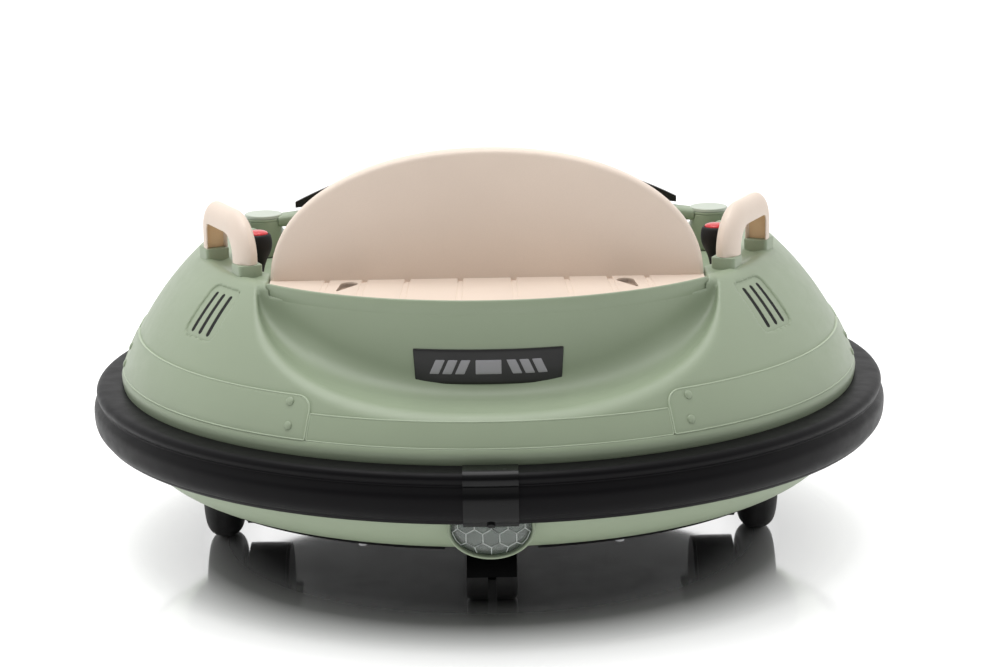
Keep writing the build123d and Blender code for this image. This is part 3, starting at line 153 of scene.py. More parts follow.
def smoothstep(t):
    """An easy rise from 0 to 1."""
    t = np.clip(t, 0, 1)
    return t * t * (3 - 2 * t)


def scoop(x, z, half, floor):
    """Cross-section of a broad bowl that is open upwards: negative inside."""
    depth = CREST_Z - floor
    down = np.maximum(CREST_Z - z, 0)
    power = SCOOP_POWER
    size = ((np.abs(x) / half) ** power + (down / depth) ** power + 1e-9) ** (1 / power)
    steep_x = (np.abs(x) / size) ** (power - 1) / half**power
    steep_z = (down / size) ** (power - 1) / depth**power
    return (size - 1) / np.maximum(np.hypot(steep_x, steep_z), 1e-4)


def field_mesh(field, low, high, cell):
    """Faces and points of the zero surface of a field that is symmetric about X = 0."""
    xs = np.arange(-0.5, high[0] / cell + 1.5) * cell
    ys = np.arange(low[1], high[1] + cell, cell)
    zs = np.arange(low[2], high[2] + cell, cell)
    values = np.empty((len(xs), len(ys), len(zs)), np.float32)
    gy, gz = np.meshgrid(ys, zs, indexing="ij")
    for i, x in enumerate(xs):
        values[i] = field(np.full_like(gy, x), gy, gz)
    inside = values < 0
    corners = [(a, b, c) for a in (0, 1) for b in (0, 1) for c in (0, 1)]
    size = tuple(n - 1 for n in values.shape)

    def window(grid, corner):
        a, b, c = corner
        return grid[a : a + size[0], b : b + size[1], c : c + size[2]]

    count = sum(window(inside, k).astype(np.int8) for k in corners)
    active = np.argwhere((count > 0) & (count < 8))
    at = {k: values[active[:, 0] + k[0], active[:, 1] + k[1], active[:, 2] + k[2]] for k in corners}
    total, hits = np.zeros((len(active), 3)), np.zeros(len(active))
    for k in corners:
        for axis in range(3):
            if k[axis]:
                continue
            other = tuple(k[n] + (n == axis) for n in range(3))
            crossing = (at[k] < 0) != (at[other] < 0)
            t = at[k][crossing] / (at[k][crossing] - at[other][crossing])
            place = np.tile(np.array(k, float), (len(t), 1))
            place[:, axis] = t
            total[crossing] += place
            hits[crossing] += 1
    local = total / hits[:, None]
    points = np.stack([xs[0], low[1], low[2]]) + (active + local) * cell
    index = np.full(size, -1, np.int64)
    index[tuple(active.T)] = np.arange(len(active))
    faces = []
    for axis in range(3):
        u, v = (axis + 1) % 3, (axis + 2) % 3
        step = np.zeros(3, int)
        step[axis] = 1
        near = inside[tuple(slice(None, -1) if n == axis else slice(None) for n in range(3))]
        far = inside[tuple(slice(1, None) if n == axis else slice(None) for n in range(3))]
        change = np.argwhere(near != far)
        keep = np.all([(change[:, n] > 0) & (change[:, n] < size[n]) for n in (u, v)], axis=0)
        change = change[keep]
        ring = []
        for du, dv in ((1, 1), (0, 1), (0, 0), (1, 0)):
            cell_at = change.copy()
            cell_at[:, u] -= du
            cell_at[:, v] -= dv
            ring.append(index[tuple(cell_at.T)])
        quads = np.stack(ring, 1)
        flip = far[tuple(change.T)]
        quads[flip] = quads[flip][:, ::-1]
        faces.append(quads)
    faces = np.concatenate(faces)
    faces = faces[(faces >= 0).all(1)]
    on_plane = active[:, 0] == 0
    for _ in range(3):
        points = settle(field, points)
        points[on_plane, 0] = 0
    return points, faces, on_plane


def settle(field, points, reach=0.05):
    """Move points onto the field's zero surface."""
    x, y, z = points.T
    value = field(x, y, z)
    slope = []
    for dx, dy, dz in ((reach, 0, 0), (0, reach, 0), (0, 0, reach)):
        slope.append((field(x + dx, y + dy, z + dz) - field(x - dx, y - dy, z - dz)) / (2 * reach))
    slope = np.stack(slope, 1)
    steep = np.maximum((slope**2).sum(1), 0.3)
    move = np.clip(value / steep, -1.0, 1.0)[:, None] * slope
    return points - move


def mirrored(points, faces, on_plane):
    """The half mesh and its mirror image about X = 0, sharing the points on the plane."""
    n = len(points)
    other = np.arange(n) + n
    other[on_plane] = np.arange(n)[on_plane]
    image = points * np.array([-1, 1, 1])
    used = np.concatenate([faces, other[faces][:, ::-1]])
    everything = np.concatenate([points, image])
    names, compact = np.unique(used, return_inverse=True)
    return everything[names], compact.reshape(used.shape)


# ---- meshes


def new_piece(name, points, faces, slot, look=None, body="chassis", sharp=None, replaces=None):
    """A mesh piece from points in millimetres, riding on a body.  It wears its slot's look unless
    given another.  Edges above the sharp angle stay sharp; 0 leaves every face flat."""
    mesh = bpy.data.meshes.new(name)
    if isinstance(faces, np.ndarray):
        co = (np.asarray(points, float) * MM).astype(np.float32)
        mesh.vertices.add(len(co))
        mesh.vertices.foreach_set("co", co.ravel())
        mesh.loops.add(faces.size)
        mesh.loops.foreach_set("vertex_index", faces.ravel().astype(np.int32))
        mesh.polygons.add(len(faces))
        width = faces.shape[1]
        mesh.polygons.foreach_set("loop_start", np.arange(len(faces), dtype=np.int32) * width)
        mesh.update(calc_edges=True)
        mesh.validate()
    else:
        mesh.from_pydata([tuple(Vector(p) * MM) for p in points], [], faces)
        mesh.update()
        fix = bmesh.new()
        fix.from_mesh(mesh)
        bmesh.ops.recalc_face_normals(fix, faces=fix.faces)
        fix.to_mesh(mesh)
        fix.free()
    piece = bpy.data.objects.new(name, mesh)
    bpy.context.scene.collection.objects.link(piece)
    if sharp is None:
        mesh.polygons.foreach_set("use_smooth", [True] * len(mesh.polygons))
    elif sharp > 0:
        auto_smooth(piece, sharp)
    mesh.materials.append(look or SLOT_LOOKS[slot])
    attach(piece, body)
    if replaces:
        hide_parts(replaces)
    return piece


def sheet_of(rows, closed_across=False, closed_along=False):
    """Points and quads of a grid given as rows of points."""
    wide = len(rows[0])
    points = [p for row in rows for p in row]
    faces = []
    for i in range(len(rows) - (0 if closed_along else 1)):
        j = (i + 1) % len(rows)
        for k in range(wide - (0 if closed_across else 1)):
            m = (k + 1) % wide
            faces.append((i * wide + k, i * wide + m, j * wide + m, j * wide + k))
    return points, faces


def end_capped(rows):
    """A closed tube of rows with a face at each end."""
    points, faces = sheet_of(rows, closed_across=True)
    n = len(rows[0])
    total = len(points)
    return points, faces + [tuple(range(n)), tuple(range(total - n, total))]


def lathe_rows(profile, steps, start=0.0, turn=360.0, centre=(0, 0)):
    """Rows of (radius, z) points turned about a vertical axis."""
    rows = []
    for i in range(steps if turn >= 360 else steps + 1):
        a = radians(start + turn * i / steps)
        rows.append([(centre[0] + r * sin(a), centre[1] + r * cos(a), z) for r, z in profile])
    return rows


def gather(parts):
    """One mesh of several (points, faces) meshes."""
    points, faces = [], []
    for more_points, more_faces in parts:
        faces += [tuple(i + len(points) for i in face) for face in more_faces]
        points += more_points
    return points, faces


def weld(piece, reach_mm):
    """Merge the points that fall together and turn the faces outwards."""
    fix = bmesh.new()
    fix.from_mesh(piece.data)
    bmesh.ops.remove_doubles(fix, verts=fix.verts, dist=reach_mm * MM)
    bmesh.ops.dissolve_degenerate(fix, edges=fix.edges, dist=0.005 * MM)
    bmesh.ops.recalc_face_normals(fix, faces=fix.faces)
    fix.to_mesh(piece.data)
    fix.free()


def arc(centre, radius, start, end, steps):
    """Points on an arc, angles in degrees."""
    out = []
    for i in range(steps + 1):
        a = radians(start + (end - start) * i / steps)
        out.append((centre[0] + radius * cos(a), centre[1] + radius * sin(a)))
    return out


def soften(piece, width, segments=3, angle=35):
    """Round a piece's edges."""
    mod = piece.modifiers.new("edges", "BEVEL")
    mod.width = width * MM
    mod.segments = segments
    mod.limit_method = "ANGLE"
    mod.angle_limit = radians(angle)
    mod.harden_normals = False
    return piece


def auto_smooth(piece, angle=35):
    """Smooth shading with sharp edges above an angle."""
    mesh = piece.data
    mesh.polygons.foreach_set("use_smooth", [True] * len(mesh.polygons))
    mesh.set_sharp_from_angle(angle=radians(angle))
    return piece

# ---- materials


def linear(rgb):
    """A linear colour from 0-255 display values."""
    out = []
    for v in rgb:
        v = v / 255
        out.append(v / 12.92 if v <= 0.04045 else ((v + 0.055) / 1.055) ** 2.4)
    return (*out, 1.0)


def shifted(colour, factor):
    return tuple(min(1.0, c * factor) for c in colour[:3]) + (1.0,)


RANGE_INPUTS = ("From Min", "From Max", "To Min", "To Max")


class Paint:
    """A node material on object coordinates, built up a layer at a time."""

    def __init__(self, name):
        self.material = bpy.data.materials.new(name)
        self.material.use_nodes = True
        self.nodes = self.material.node_tree.nodes
        self.links = self.material.node_tree.links
        self.shader = self.nodes["Principled BSDF"]
        self.where = self.nodes.new("ShaderNodeTexCoord").outputs["Object"]
        self.normal = None

    def noise(self, scale, detail=3.0, rough=0.5, stretch=None):
        where = self.where
        if stretch:
            squeeze = self.nodes.new("ShaderNodeMapping")
            squeeze.inputs["Scale"].default_value = stretch
            self.links.new(where, squeeze.inputs["Vector"])
            where = squeeze.outputs["Vector"]
        node = self.nodes.new("ShaderNodeTexNoise")
        node.inputs["Scale"].default_value = scale
        node.inputs["Detail"].default_value = detail
        node.inputs["Roughness"].default_value = rough
        self.links.new(where, node.inputs["Vector"])
        return node.outputs["Fac"]

    def spread(self, value, *limits):
        node = self.nodes.new("ShaderNodeMapRange")
        for key, number in zip(RANGE_INPUTS, limits):
            node.inputs[key].default_value = number
        self.links.new(value, node.inputs["Value"])
        return node.outputs["Result"]

    def mix(self, fac, a, b):
        node = self.nodes.new("ShaderNodeMix")
        node.data_type = "RGBA"
        self.links.new(fac, node.inputs["Factor"])
        for value, socket in ((a, node.inputs["A"]), (b, node.inputs["B"])):
            if isinstance(value, tuple):
                socket.default_value = value
            else:
                self.links.new(value, socket)
        return node.outputs["Result"]

    def bump(self, height, strength, distance_mm):
        node = self.nodes.new("ShaderNodeBump")
        node.inputs["Strength"].default_value = strength
        node.inputs["Distance"].default_value = distance_mm * MM
        self.links.new(height, node.inputs["Height"])
        if self.normal:
            self.links.new(self.normal, node.inputs["Normal"])
        self.normal = node.outputs["Normal"]
        self.links.new(self.normal, self.shader.inputs["Normal"])

    def colour(self, value):
        self.links.new(value, self.shader.inputs["Base Color"])

    def roughness(self, value):
        self.links.new(value, self.shader.inputs["Roughness"])

    def set(self, **values):
        for key, value in values.items():
            self.shader.inputs[key.replace("_", " ")].default_value = value
        return self


def moulded(name, rgb, rough, grain_mm=0.6, depth=0.12, tint=0.035, coat=0.0, specular=0.5):
    """Moulded plastic: slow drifts of tone, fine spark-eroded grain and faint handling marks."""
    paint = Paint(name)
    base = linear(rgb)
    drift = paint.noise(7, 3, 0.55)
    tone = paint.mix(paint.spread(drift, 0.3, 0.7, 0, 1), shifted(base, 1 - tint), shifted(base, 1 + tint))
    speck = paint.noise(650 / grain_mm, 2, 0.6)
    tone = paint.mix(paint.spread(speck, 0.35, 0.65, 0, 0.22), tone, shifted(base, 0.90))
    paint.colour(tone)
    marks = paint.noise(38, 6, 0.65, (1.0, 1.6, 2.4))
    paint.roughness(paint.spread(marks, 0.3, 0.75, rough - 0.04, rough + 0.07))
    paint.bump(speck, 0.35, depth)
    paint.bump(paint.noise(24, 3), 0.10, 0.5)
    paint.set(Specular_IOR_Level=specular, Coat_Weight=coat)
    return paint.material


def metal(name, rgb, rough, stretch=(1, 1, 14)):
    """Turned or brushed metal."""
    paint = Paint(name)
    base = linear(rgb)
    lines = paint.noise(420, 4, 0.6, stretch)
    paint.colour(paint.mix(paint.spread(lines, 0.3, 0.7, 0, 1), shifted(base, 0.86), shifted(base, 1.08)))
    paint.roughness(paint.spread(paint.noise(60, 4), 0.3, 0.7, rough - 0.05, rough + 0.1))
    paint.bump(lines, 0.15, 0.1)
    paint.set(Metallic=1.0)
    return paint.material


def clear(name, rgb, rough, tint):
    """Clear moulded plastic with a faint flow pattern."""
    paint = Paint(name)
    base = linear(rgb)
    flow = paint.noise(30, 3)
    paint.colour(paint.mix(paint.spread(flow, 0.3, 0.7, 0, 1), shifted(base, 1 - tint), shifted(base, 1.0)))
    paint.roughness(paint.spread(paint.noise(120, 3), 0.3, 0.7, rough, rough + 0.05))
    paint.bump(flow, 0.12, 0.4)
    paint.set(Transmission_Weight=0.9, IOR=1.49)
    return paint.material


SLOT_LOOKS = {
    "sage_plastic": moulded("sage_plastic", (149, 162, 137), 0.42),
    "cap_plastic": moulded("cap_plastic", (190, 198, 184), 0.40),
    "cream_plastic": moulded("cream_plastic", (230, 213, 198), 0.46),
    "bumper_rubber": moulded("bumper_rubber", (12, 11, 13), 0.42, 0.8, 0.2, 0.08, specular=0.10),
    "black_plastic": moulded("black_plastic", (9, 9, 10), 0.50, 0.7, 0.2, 0.08, specular=0.08),
    "grip_rubber": moulded("grip_rubber", (19, 17, 17), 0.55, 0.9, 0.3, 0.1, specular=0.3),
    "clip_black": moulded("clip_black", (7, 7, 8), 0.22, 0.5, 0.06, 0.05, specular=0.22),
    "plate_black": moulded("plate_black", (16, 15, 16), 0.34, 0.5, 0.03, 0.05),
    "smoked_screen": moulded("smoked_screen", (30, 27, 28), 0.16, 0.5, 0.02, 0.05),
    "red_plastic": moulded("red_plastic", (206, 26, 34), 0.24, 0.5, 0.03, coat=0.3),
    "key_plastic": moulded("key_plastic", (232, 226, 216), 0.34, 0.5, 0.05),
    "fastener_steel": metal("fastener_steel", (150, 150, 152), 0.36),
    "gear_nylon": moulded("gear_nylon", (226, 224, 214), 0.40),
    "pinion_brass": metal("pinion_brass", (214, 186, 120), 0.32),
    "tyre_black": moulded("tyre_black", (30, 29, 30), 0.58, 1.2, 0.35, 0.1),
    "lamp_clear": clear("lamp_clear", (226, 234, 228), 0.03, 0.04),
    "board_green": moulded("board_green", (30, 92, 56), 0.35, 0.9, 0.1),
    "battery_case": moulded("battery_case", (62, 62, 65), 0.5),
}
SLOT_LOOKS["lamp_bezel"] = SLOT_LOOKS["sage_plastic"]
# painted highlight: a paler sage for the raised edge lines, standing in for the light they catch
SAGE_RIDGE_HIGHLIGHT = moulded("sage_ridge_painted_highlight", (174, 187, 162), 0.42)
# warmer tan for the handles' inner channel: partly a tan of the channel's own, partly painted warm bounce
# light from the cream walls round it
CREAM_INNER = moulded("cream_recess", (234, 203, 164), 0.55)
PLATE_INK = moulded("plate_grey", (158, 156, 162), 0.42, 0.5, 0.03)
# painted highlight: the lens's ribs get a pale opaque look for the light that the clear ribs catch
LENS_RIB_HIGHLIGHT = moulded("lens_rib", (196, 204, 198), 0.25, 0.5, 0.02)
# painted shade: near-black for the sheet behind the vent slots, standing in for the shade inside the shell
VENT_PAINTED_SHADE = moulded("vent_painted_shade_black", (12, 12, 12), 0.8)


def dress_cad():
    """Every CAD node takes the look of its slot, but the clips' screws match the clips."""
    for part in frame["record"]["subparts"]:
        node = NODES[part["node"]]
        node.data.materials.clear()
        slot = "clip_black" if part["node"] == "clip_screws" else part["material_slot"]
        node.data.materials.append(SLOT_LOOKS[slot])


dress_cad()

# ---- upper shell


def shell_field(x, y, z):
    """The upper shell: dome, shoulders, deck, both scoops and the wells, a wall thick."""
    rho = np.hypot(x, y)
    dome = np.hypot(rho - DOME_CENTRE[0], z - DOME_CENTRE[1]) - DOME_R
    skirt = rho - (FLANGE_R + (BAND_R - FLANGE_R) * smoothstep((z - 150) / 14))
    dome = both(dome, skirt, 4)
    valley = VALLEY_DEEP * np.cos(np.clip((rho - VALLEY_R) / VALLEY_HALF, -1, 1) * pi / 2) ** 2
    body = both(dome, z - (CREST_Z - valley), 4.5)
    deck = both(rho - (DISH_R + 3.0 * smoothstep((z - DISH_Z) / 36)), DISH_Z - z, 2.5)
    body = cut(body, deck, 3.0)
    # rear scoop: a wall under the rim that runs out into a ledge through a hollow
    floor_at = CREST_Z - (CREST_Z - REAR_LEDGE_Z) * np.maximum(
        1 - (np.minimum(np.abs(x), SCOOP_HALF) / SCOOP_HALF) ** SCOOP_POWER, 0
    ) ** (1 / SCOOP_POWER)
    hollow = np.minimum(16 + 14 * smoothstep(np.abs(x) / 170), 0.45 * (CREST_Z - floor_at) + 1)
    bowl = scoop(x, z, SCOOP_HALF, REAR_LEDGE_Z)
    rear = np.where(y > 20, both(CREST_R + 0.3 - rho, bowl, hollow), 60)
    edge = 3 + 8 * smoothstep((rho - CREST_R - 12) / 30)
    body = cut(body, rear, edge)
    # front entry
    entry = both(y - ENTRY_START_Y, scoop(x, z, ENTRY_HALF, CREST_Z - SCOOP_DEPTH), 14)
    body = cut(body, entry, 6)
    # the seat's shelf lies on a lowered ridge
    lowered = np.maximum(np.maximum(rho - CREST_R - 0.2, np.abs(x) - BACK_HALF - 1.4), RIM_LOW_Z - z)
    body = cut(body, np.maximum(lowered, 20 - y), 0.8)
    # wells
    foot_middle = (FOOT_FRONT_Y + FOOT_REAR_Y) / 2
    foot_plan = rounded_rectangle(x, y, (0, foot_middle), (FOOT_HALF, FOOT_REAR_Y - foot_middle), 34)
    foot = both(foot_plan, FOOT_Z - z, 12)
    seat_front = SEAT_WELL_FRONT_Y
    seat_middle = (seat_front + SEAT_REAR_Y) / 2
    seat_plan = rounded_rectangle(x, y, (0, seat_middle), (SEAT_WELL_HALF, SEAT_REAR_Y - seat_middle), 30)
    seat_well = both(seat_plan, SEAT_WELL_Z - z, 8)
    body = cut(body, join(foot, seat_well, 6), 5)
    # post pockets
    for sign in SIDES.values():
        post = np.hypot(x - sign * POST_X, y - POST_Y) - POST_R - 0.5
        body = cut(body, np.maximum(post, DISH_Z - z), 1.2)
        way = rounded_rectangle(x, y, (sign * WAY_CENTRE[0], WAY_CENTRE[1]), WAY_HALF, 14)
        body = cut(body, np.maximum(way, DISH_Z - z), 4)
    shell = np.maximum(body, -(body + SKIN))
    below = np.maximum(JOIN_Z - z, -60)
    below = np.minimum(below, np.maximum(foot_plan - 9, 80 - z))
    shell = np.maximum(shell, below)
    # holes: battery hatch, sticks, posts, vents, lamps
    hatch = np.maximum(np.abs(x) - HATCH_HALF_X, np.abs(y - HATCH_Y) - HATCH_HALF_Y)
    shell = without(shell, hatch, np.abs(z - HATCH_Z) - HATCH_HALF_Z)
    for sign in SIDES.values():
        shell = without(shell, np.hypot(x - sign * STICK_X, y - STICK_Y) - STICK_HOLE_R, 230 - z)
        shell = without(shell, np.hypot(x - sign * POST_X, y - POST_Y) - POST_HOLE_R, 235 - z)
    azimuth = np.degrees(np.arctan2(np.abs(x), np.abs(y)))
    along = np.degrees(np.arctan2(z - DOME_CENTRE[1], rho - DOME_CENTRE[0])) * pi / 180 * DOME_R
    across = np.radians(azimuth - VENT_AZIMUTH) * VENT_RHO
    vent = rounded_rectangle(across, along, (0, VENT_ALONG), VENT_HALF, 8)
    shell = cut(shell, np.maximum(vent, 262 - rho), 0.8)
    lamp = (np.hypot(x / (LAMP_HALF_WIDE - 1), (z - LAMP_Z) / (LAMP_HALF_TALL - 1)) - 1) * 27
    return without(shell, lamp, LAMP_TUNNEL_Y - np.abs(y))


def make_upper_shell():
    low, high = (0, -352, 92), (352, 352, 298)
    points, faces = mirrored(*field_mesh(shell_field, low, high, CELL_SHELL))
    new_piece("upper_shell_skin", points, faces, "sage_plastic", replaces="upper_shell")


make_upper_shell()


def make_rim():
    """The thin upright rim between the seat's shelf and the wall of the rear scoop."""
    reach = degrees(asin((BACK_HALF + 1.2) / CREST_R))
    inner, outer, top = SHELF_R + 0.5, CREST_R + 0.32, CREST_Z
    profile = [(inner, RIM_LOW_Z - 4), (inner, top - 0.9), (inner + 0.3, top - 0.3), (inner + 0.9, top)]
    profile += [(outer - 0.9, top), (outer - 0.3, top - 0.3), (outer, top - 0.9), (outer, RIM_LOW_Z - 2.5)]
    profile += [(outer - 0.7, RIM_LOW_Z - 4)]
    rows = lathe_rows(profile, 120, start=-reach, turn=2 * reach)
    new_piece("rear_rim", *end_capped(rows), "sage_plastic", sharp=50)


# ---- plates that follow the dome


def rounded_outline(half_wide, half_tall, corners, step=2.5, taper=0.0):
    """Closed outline of a rectangle whose corners share a radius or (upper right, upper left,
    lower left, lower right) have their own.  The taper shortens the lower edge at each end."""
    corners = corners if isinstance(corners, tuple) else (corners,) * 4
    signs = ((1, 1), (-1, 1), (-1, -1), (1, -1))
    points = []
    for number, ((sx, sy), r) in enumerate(zip(signs, corners)):
        wide = half_wide - (taper if sy < 0 else 0)
        centre = (sx * (wide - r), sy * (half_tall - r))
        points += arc(centre, r, 90 * number, 90 * number + 90, 8)
    dense = []
    for a, b in zip(points, points[1:] + points[:1]):
        length = hypot(b[0] - a[0], b[1] - a[1])
        pieces = max(1, ceil(length / step))
        for i in range(pieces):
            t = i / pieces
            dense.append((a[0] + (b[0] - a[0]) * t, a[1] + (b[1] - a[1]) * t))
    return dense


def moved_in(points, distance, closed=True):
    """An outline shrunk by a distance, or an open line moved to its left side."""
    last = len(points) - 1
    out = []
    for i, (x, y) in enumerate(points):
        ax, ay = points[i - 1 if closed or i else 0]
        bx, by = points[i + 1 if i < last else (0 if closed else last)]
        length = hypot(bx - ax, by - ay) or 1
        out.append((x - (by - ay) / length * distance, y + (bx - ax) / length * distance))
    return out


def plate(name, outline, place, loops, slot, look=None, rings=5):
    """A closed curved plate.  loops are (inset, lift) pairs from the underside to the top,
    and place(u, v, lift) puts a flat point on the surface."""
    wide = max(abs(u) for u, v in outline)
    tall = max(abs(v) for u, v in outline)
    spine = max(wide - tall, 0)
    spine_tall = max(tall - wide, 0)

    def towards_spine(points, t):
        out = []
        for u, v in points:
            goal = (max(-spine, min(spine, u)), max(-spine_tall, min(spine_tall, v)))
            out.append((u + (goal[0] - u) * t, v + (goal[1] - v) * t))
        return out

    rows = []
    first, last = loops[0], loops[-1]
    for i in range(rings, 0, -1):
        rows.append((towards_spine(moved_in(outline, first[0]), i / rings), first[1]))
    for inset, lift in loops:
        rows.append((moved_in(outline, inset), lift))
    for i in range(1, rings + 1):
        rows.append((towards_spine(moved_in(outline, last[0]), i / rings), last[1]))
    grid = [[place(u, v, lift) for u, v in row] for row, lift in rows]
    piece = new_piece(name, *sheet_of(grid, closed_across=True), slot, look)
    weld(piece, 0.02)
    return auto_smooth(piece, 40)


def on_dome(azimuth, along, mirror_u=1):
    """Placing function round a point of the dome, u towards growing azimuth."""
    z_middle = DOME_CENTRE[1] + DOME_R * sin(along / DOME_R)
    radius = hypot(*dome_point(0, z_middle)[:2])

    def place(u, v, lift):
        z = DOME_CENTRE[1] + DOME_R * sin((along + v) / DOME_R)
        return dome_point(azimuth + degrees(mirror_u * u / radius), z, lift)

    return place, radius


def quarter_turns():
    """(name, azimuth of the quarter's start, direction) of the four quarters."""
    return (("rear_left", 0, 1), ("rear_right", 0, -1), ("front_left", 180, -1), ("front_right", 180, 1))


LIP_TOP_Z = 176.0
PLATE_TOP_Z, STRIP_TOP_Z = 210.5, 197.5
PLATE_START, PLATE_END = 27.0, 88.0
RAISED = ((0, -2.0), (0, 0.75), (0.25, 1.15), (0.7, 1.35))
LOW_RAISED = ((0, -2.0), (0, 0.35), (0.2, 0.6), (0.55, 0.75))


def make_side_plates():
    """A plate with an edge line in each quarter, and a lower strip between them at each end."""
    low = dome_along(LIP_TOP_Z + 0.4)
    along = (low + dome_along(PLATE_TOP_Z)) / 2
    for quarter, start, way in quarter_turns():
        place, radius = on_dome(start + way * (PLATE_START + PLATE_END) / 2, along, way)
        half = (radians(PLATE_END - PLATE_START) / 2 * radius, dome_along(PLATE_TOP_Z) - along)
        outline = rounded_outline(*half, (13, 13, 1.5, 1.5))
        plate(f"side_plate_{quarter}", outline, place, RAISED, "sage_plastic")
        ridge(f"plate_edge_{quarter}", outline, place, 0.75, -0.6, 1.75)
    along = (low + dome_along(STRIP_TOP_Z)) / 2
    for end, start in (("rear", 0), ("front", 180)):
        place, radius = on_dome(start, along)
        half = (radians(PLATE_START - 0.25) * radius, dome_along(STRIP_TOP_Z) - along)
        outline = rounded_outline(*half, 1)
        plate(f"{end}_strip", outline, place, LOW_RAISED, "sage_plastic")
        ridge(f"strip_edge_{end}", outline, place, 0.7, -0.6, 1.2)


RIVETS = ((30.5, 205.0), (30.0, 186.0), (84.0, 196.0), (83.0, 181.0))
RIVET_ROWS = ((3.8, 0.2), (3.8, 1.7), (3.65, 2.15), (3.1, 2.6), (2.1, 2.95), (1.0, 3.12), (0.02, 3.15))


def make_rivets():
    """Domed rivet heads on the side plates."""
    turn = [radians(15 * k) for k in range(24)]
    heads = []
    for _, start, way in quarter_turns():
        for azimuth, z in RIVETS:
            place, _ = on_dome(start + way * azimuth, dome_along(z), way)
            rows = [[place(r * cos(a), r * sin(a), lift) for a in turn] for r, lift in RIVET_ROWS]
            heads.append(end_capped(rows))
    new_piece("rivet_heads", *gather(heads), "sage_plastic", sharp=60, replaces="panel_rivets")


def ridge(name, outline, place, half_wide, base, top):
    """A raised line along a closed outline."""
    shape = ((-half_wide, base), (-half_wide * 0.75, top - 0.2), (-half_wide * 0.3, top))
    shape += ((half_wide * 0.3, top), (half_wide * 0.75, top - 0.2), (half_wide, base))
    rows = [[place(u, v, lift) for u, v in moved_in(outline, inset)] for inset, lift in shape]
    mesh = sheet_of(rows, closed_across=True, closed_along=True)
    # the ridge wears the paler sage, a painted highlight along the raised line
    new_piece(name, *mesh, "sage_plastic", SAGE_RIDGE_HIGHLIGHT, sharp=60)


def make_shell_lip():
    """The skirt below the plates, a little proud of the dome, with a rounded upper edge."""
    profile = []
    for z, lift in ((176.2, -1.5), (176.2, 0.5), (175.8, 0.95), (175.0, 1.15), (173, 1.15), (171, 1.1)):
        p = dome_point(0, z, lift)
        profile.append((p.y, p.z))
    profile += [(347.6, 167), (347.0, 163.6), (343.5, 163.4), (343.0, 170)]
    mesh = sheet_of(lathe_rows(profile, 240), closed_across=True, closed_along=True)
    new_piece("skirt_lip", *mesh, "sage_plastic", sharp=40)


def take_away(piece, cutter):
    """Cut one mesh out of another for good."""
    mod = piece.modifiers.new("cut", "BOOLEAN")
    mod.object = cutter
    mod.solver = "EXACT"
    mod.operation = "DIFFERENCE"
    bpy.context.view_layer.update()
    graph = bpy.context.evaluated_depsgraph_get()
    mesh = bpy.data.meshes.new_from_object(piece.evaluated_get(graph))
    piece.modifiers.remove(mod)
    piece.data = mesh
    bpy.data.objects.remove(cutter)
    return auto_smooth(piece, 40)


VENT_STEP = 2.5                # degrees between slots
VENT_SLOT_HALF = (2.6, 21.5)


def make_vents():
    """A sunken panel with three slots in each quarter, and behind it a black sheet of painted shade,
    standing in for the shade inside the shell.
    """
    for quarter, start, way in quarter_turns():
        middle = start + way * VENT_AZIMUTH
        place, _ = on_dome(middle, VENT_ALONG, way)
        outline = rounded_outline(VENT_HALF[0] + 1.2, VENT_HALF[1] + 1.2, 9)
        loops = ((0, -3.4), (0, -1.6), (0.3, -1.3))
        panel = plate(f"vent_panel_{quarter}", outline, place, loops, "sage_plastic", rings=7)
        for number in (-1, 0, 1):
            slot = rounded_outline(*VENT_SLOT_HALF, 2.5, step=2)
            slot_place, _ = on_dome(middle + way * number * VENT_STEP, VENT_ALONG - 1.2, way)
            take_away(panel, plate("cutter", slot, slot_place, ((0, -6), (0, 2)), "sage_plastic"))
        loops = ((0.4, -4.6), (0.4, -1.65))
        # a black sheet behind the slots, painted shade in place of the dark inside of the shell
        plate(f"vent_shade_sheet_{quarter}", outline, place, loops, "black_plastic", VENT_PAINTED_SHADE)


def on_cylinder(radius, azimuth, z):
    def place(u, v, lift):
        a = radians(azimuth) + u / radius
        return Vector(((radius + lift) * sin(a), (radius + lift) * cos(a), z + v))

    return place


PLATE_Z, PLATE_HALF_TALL, PLATE_HALF_TURN = 228.2, 15.2, 13.9


def make_number_plate():
    """A black plate with a plain grey motif of slanted bars."""
    radius = CREST_R + 0.3
    place = on_cylinder(radius, 0, PLATE_Z)
    half = radians(PLATE_HALF_TURN) * radius
    outline = rounded_outline(half, PLATE_HALF_TALL, (0.8, 0.8, 3.5, 3.5), taper=1.6)
    loops = ((0, -1.5), (0, 1.0), (0.2, 1.3), (0.5, 1.4))
    piece = plate("plate_back", outline, place, loops, "plate_black", rings=6)
    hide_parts("number_plate")
    bars = ((-44, 4.0), (-33, 4.0), (-22, 4.0), (0, 11.0), (22, 4.0), (33, 4.0), (44, 4.0))
    for number, (u, wide) in enumerate(bars):
        lean = 0.0 if u == 0 else (0.45 if u < 0 else -0.45)
        bar = [(a + lean * b, b) for a, b in rounded_outline(wide, 6.2, 0.8, step=1.5)]

        def bar_place(a, b, lift, u=u):
            return place(u + a, b, lift)

        loops = ((0, 1.0), (0, 1.5), (0.15, 1.6))
        plate(f"plate_bar_{number}", bar, bar_place, loops, "plate_black", PLATE_INK, rings=3)


make_side_plates()
make_rivets()
make_shell_lip()
make_vents()
make_number_plate()

# ---- seat


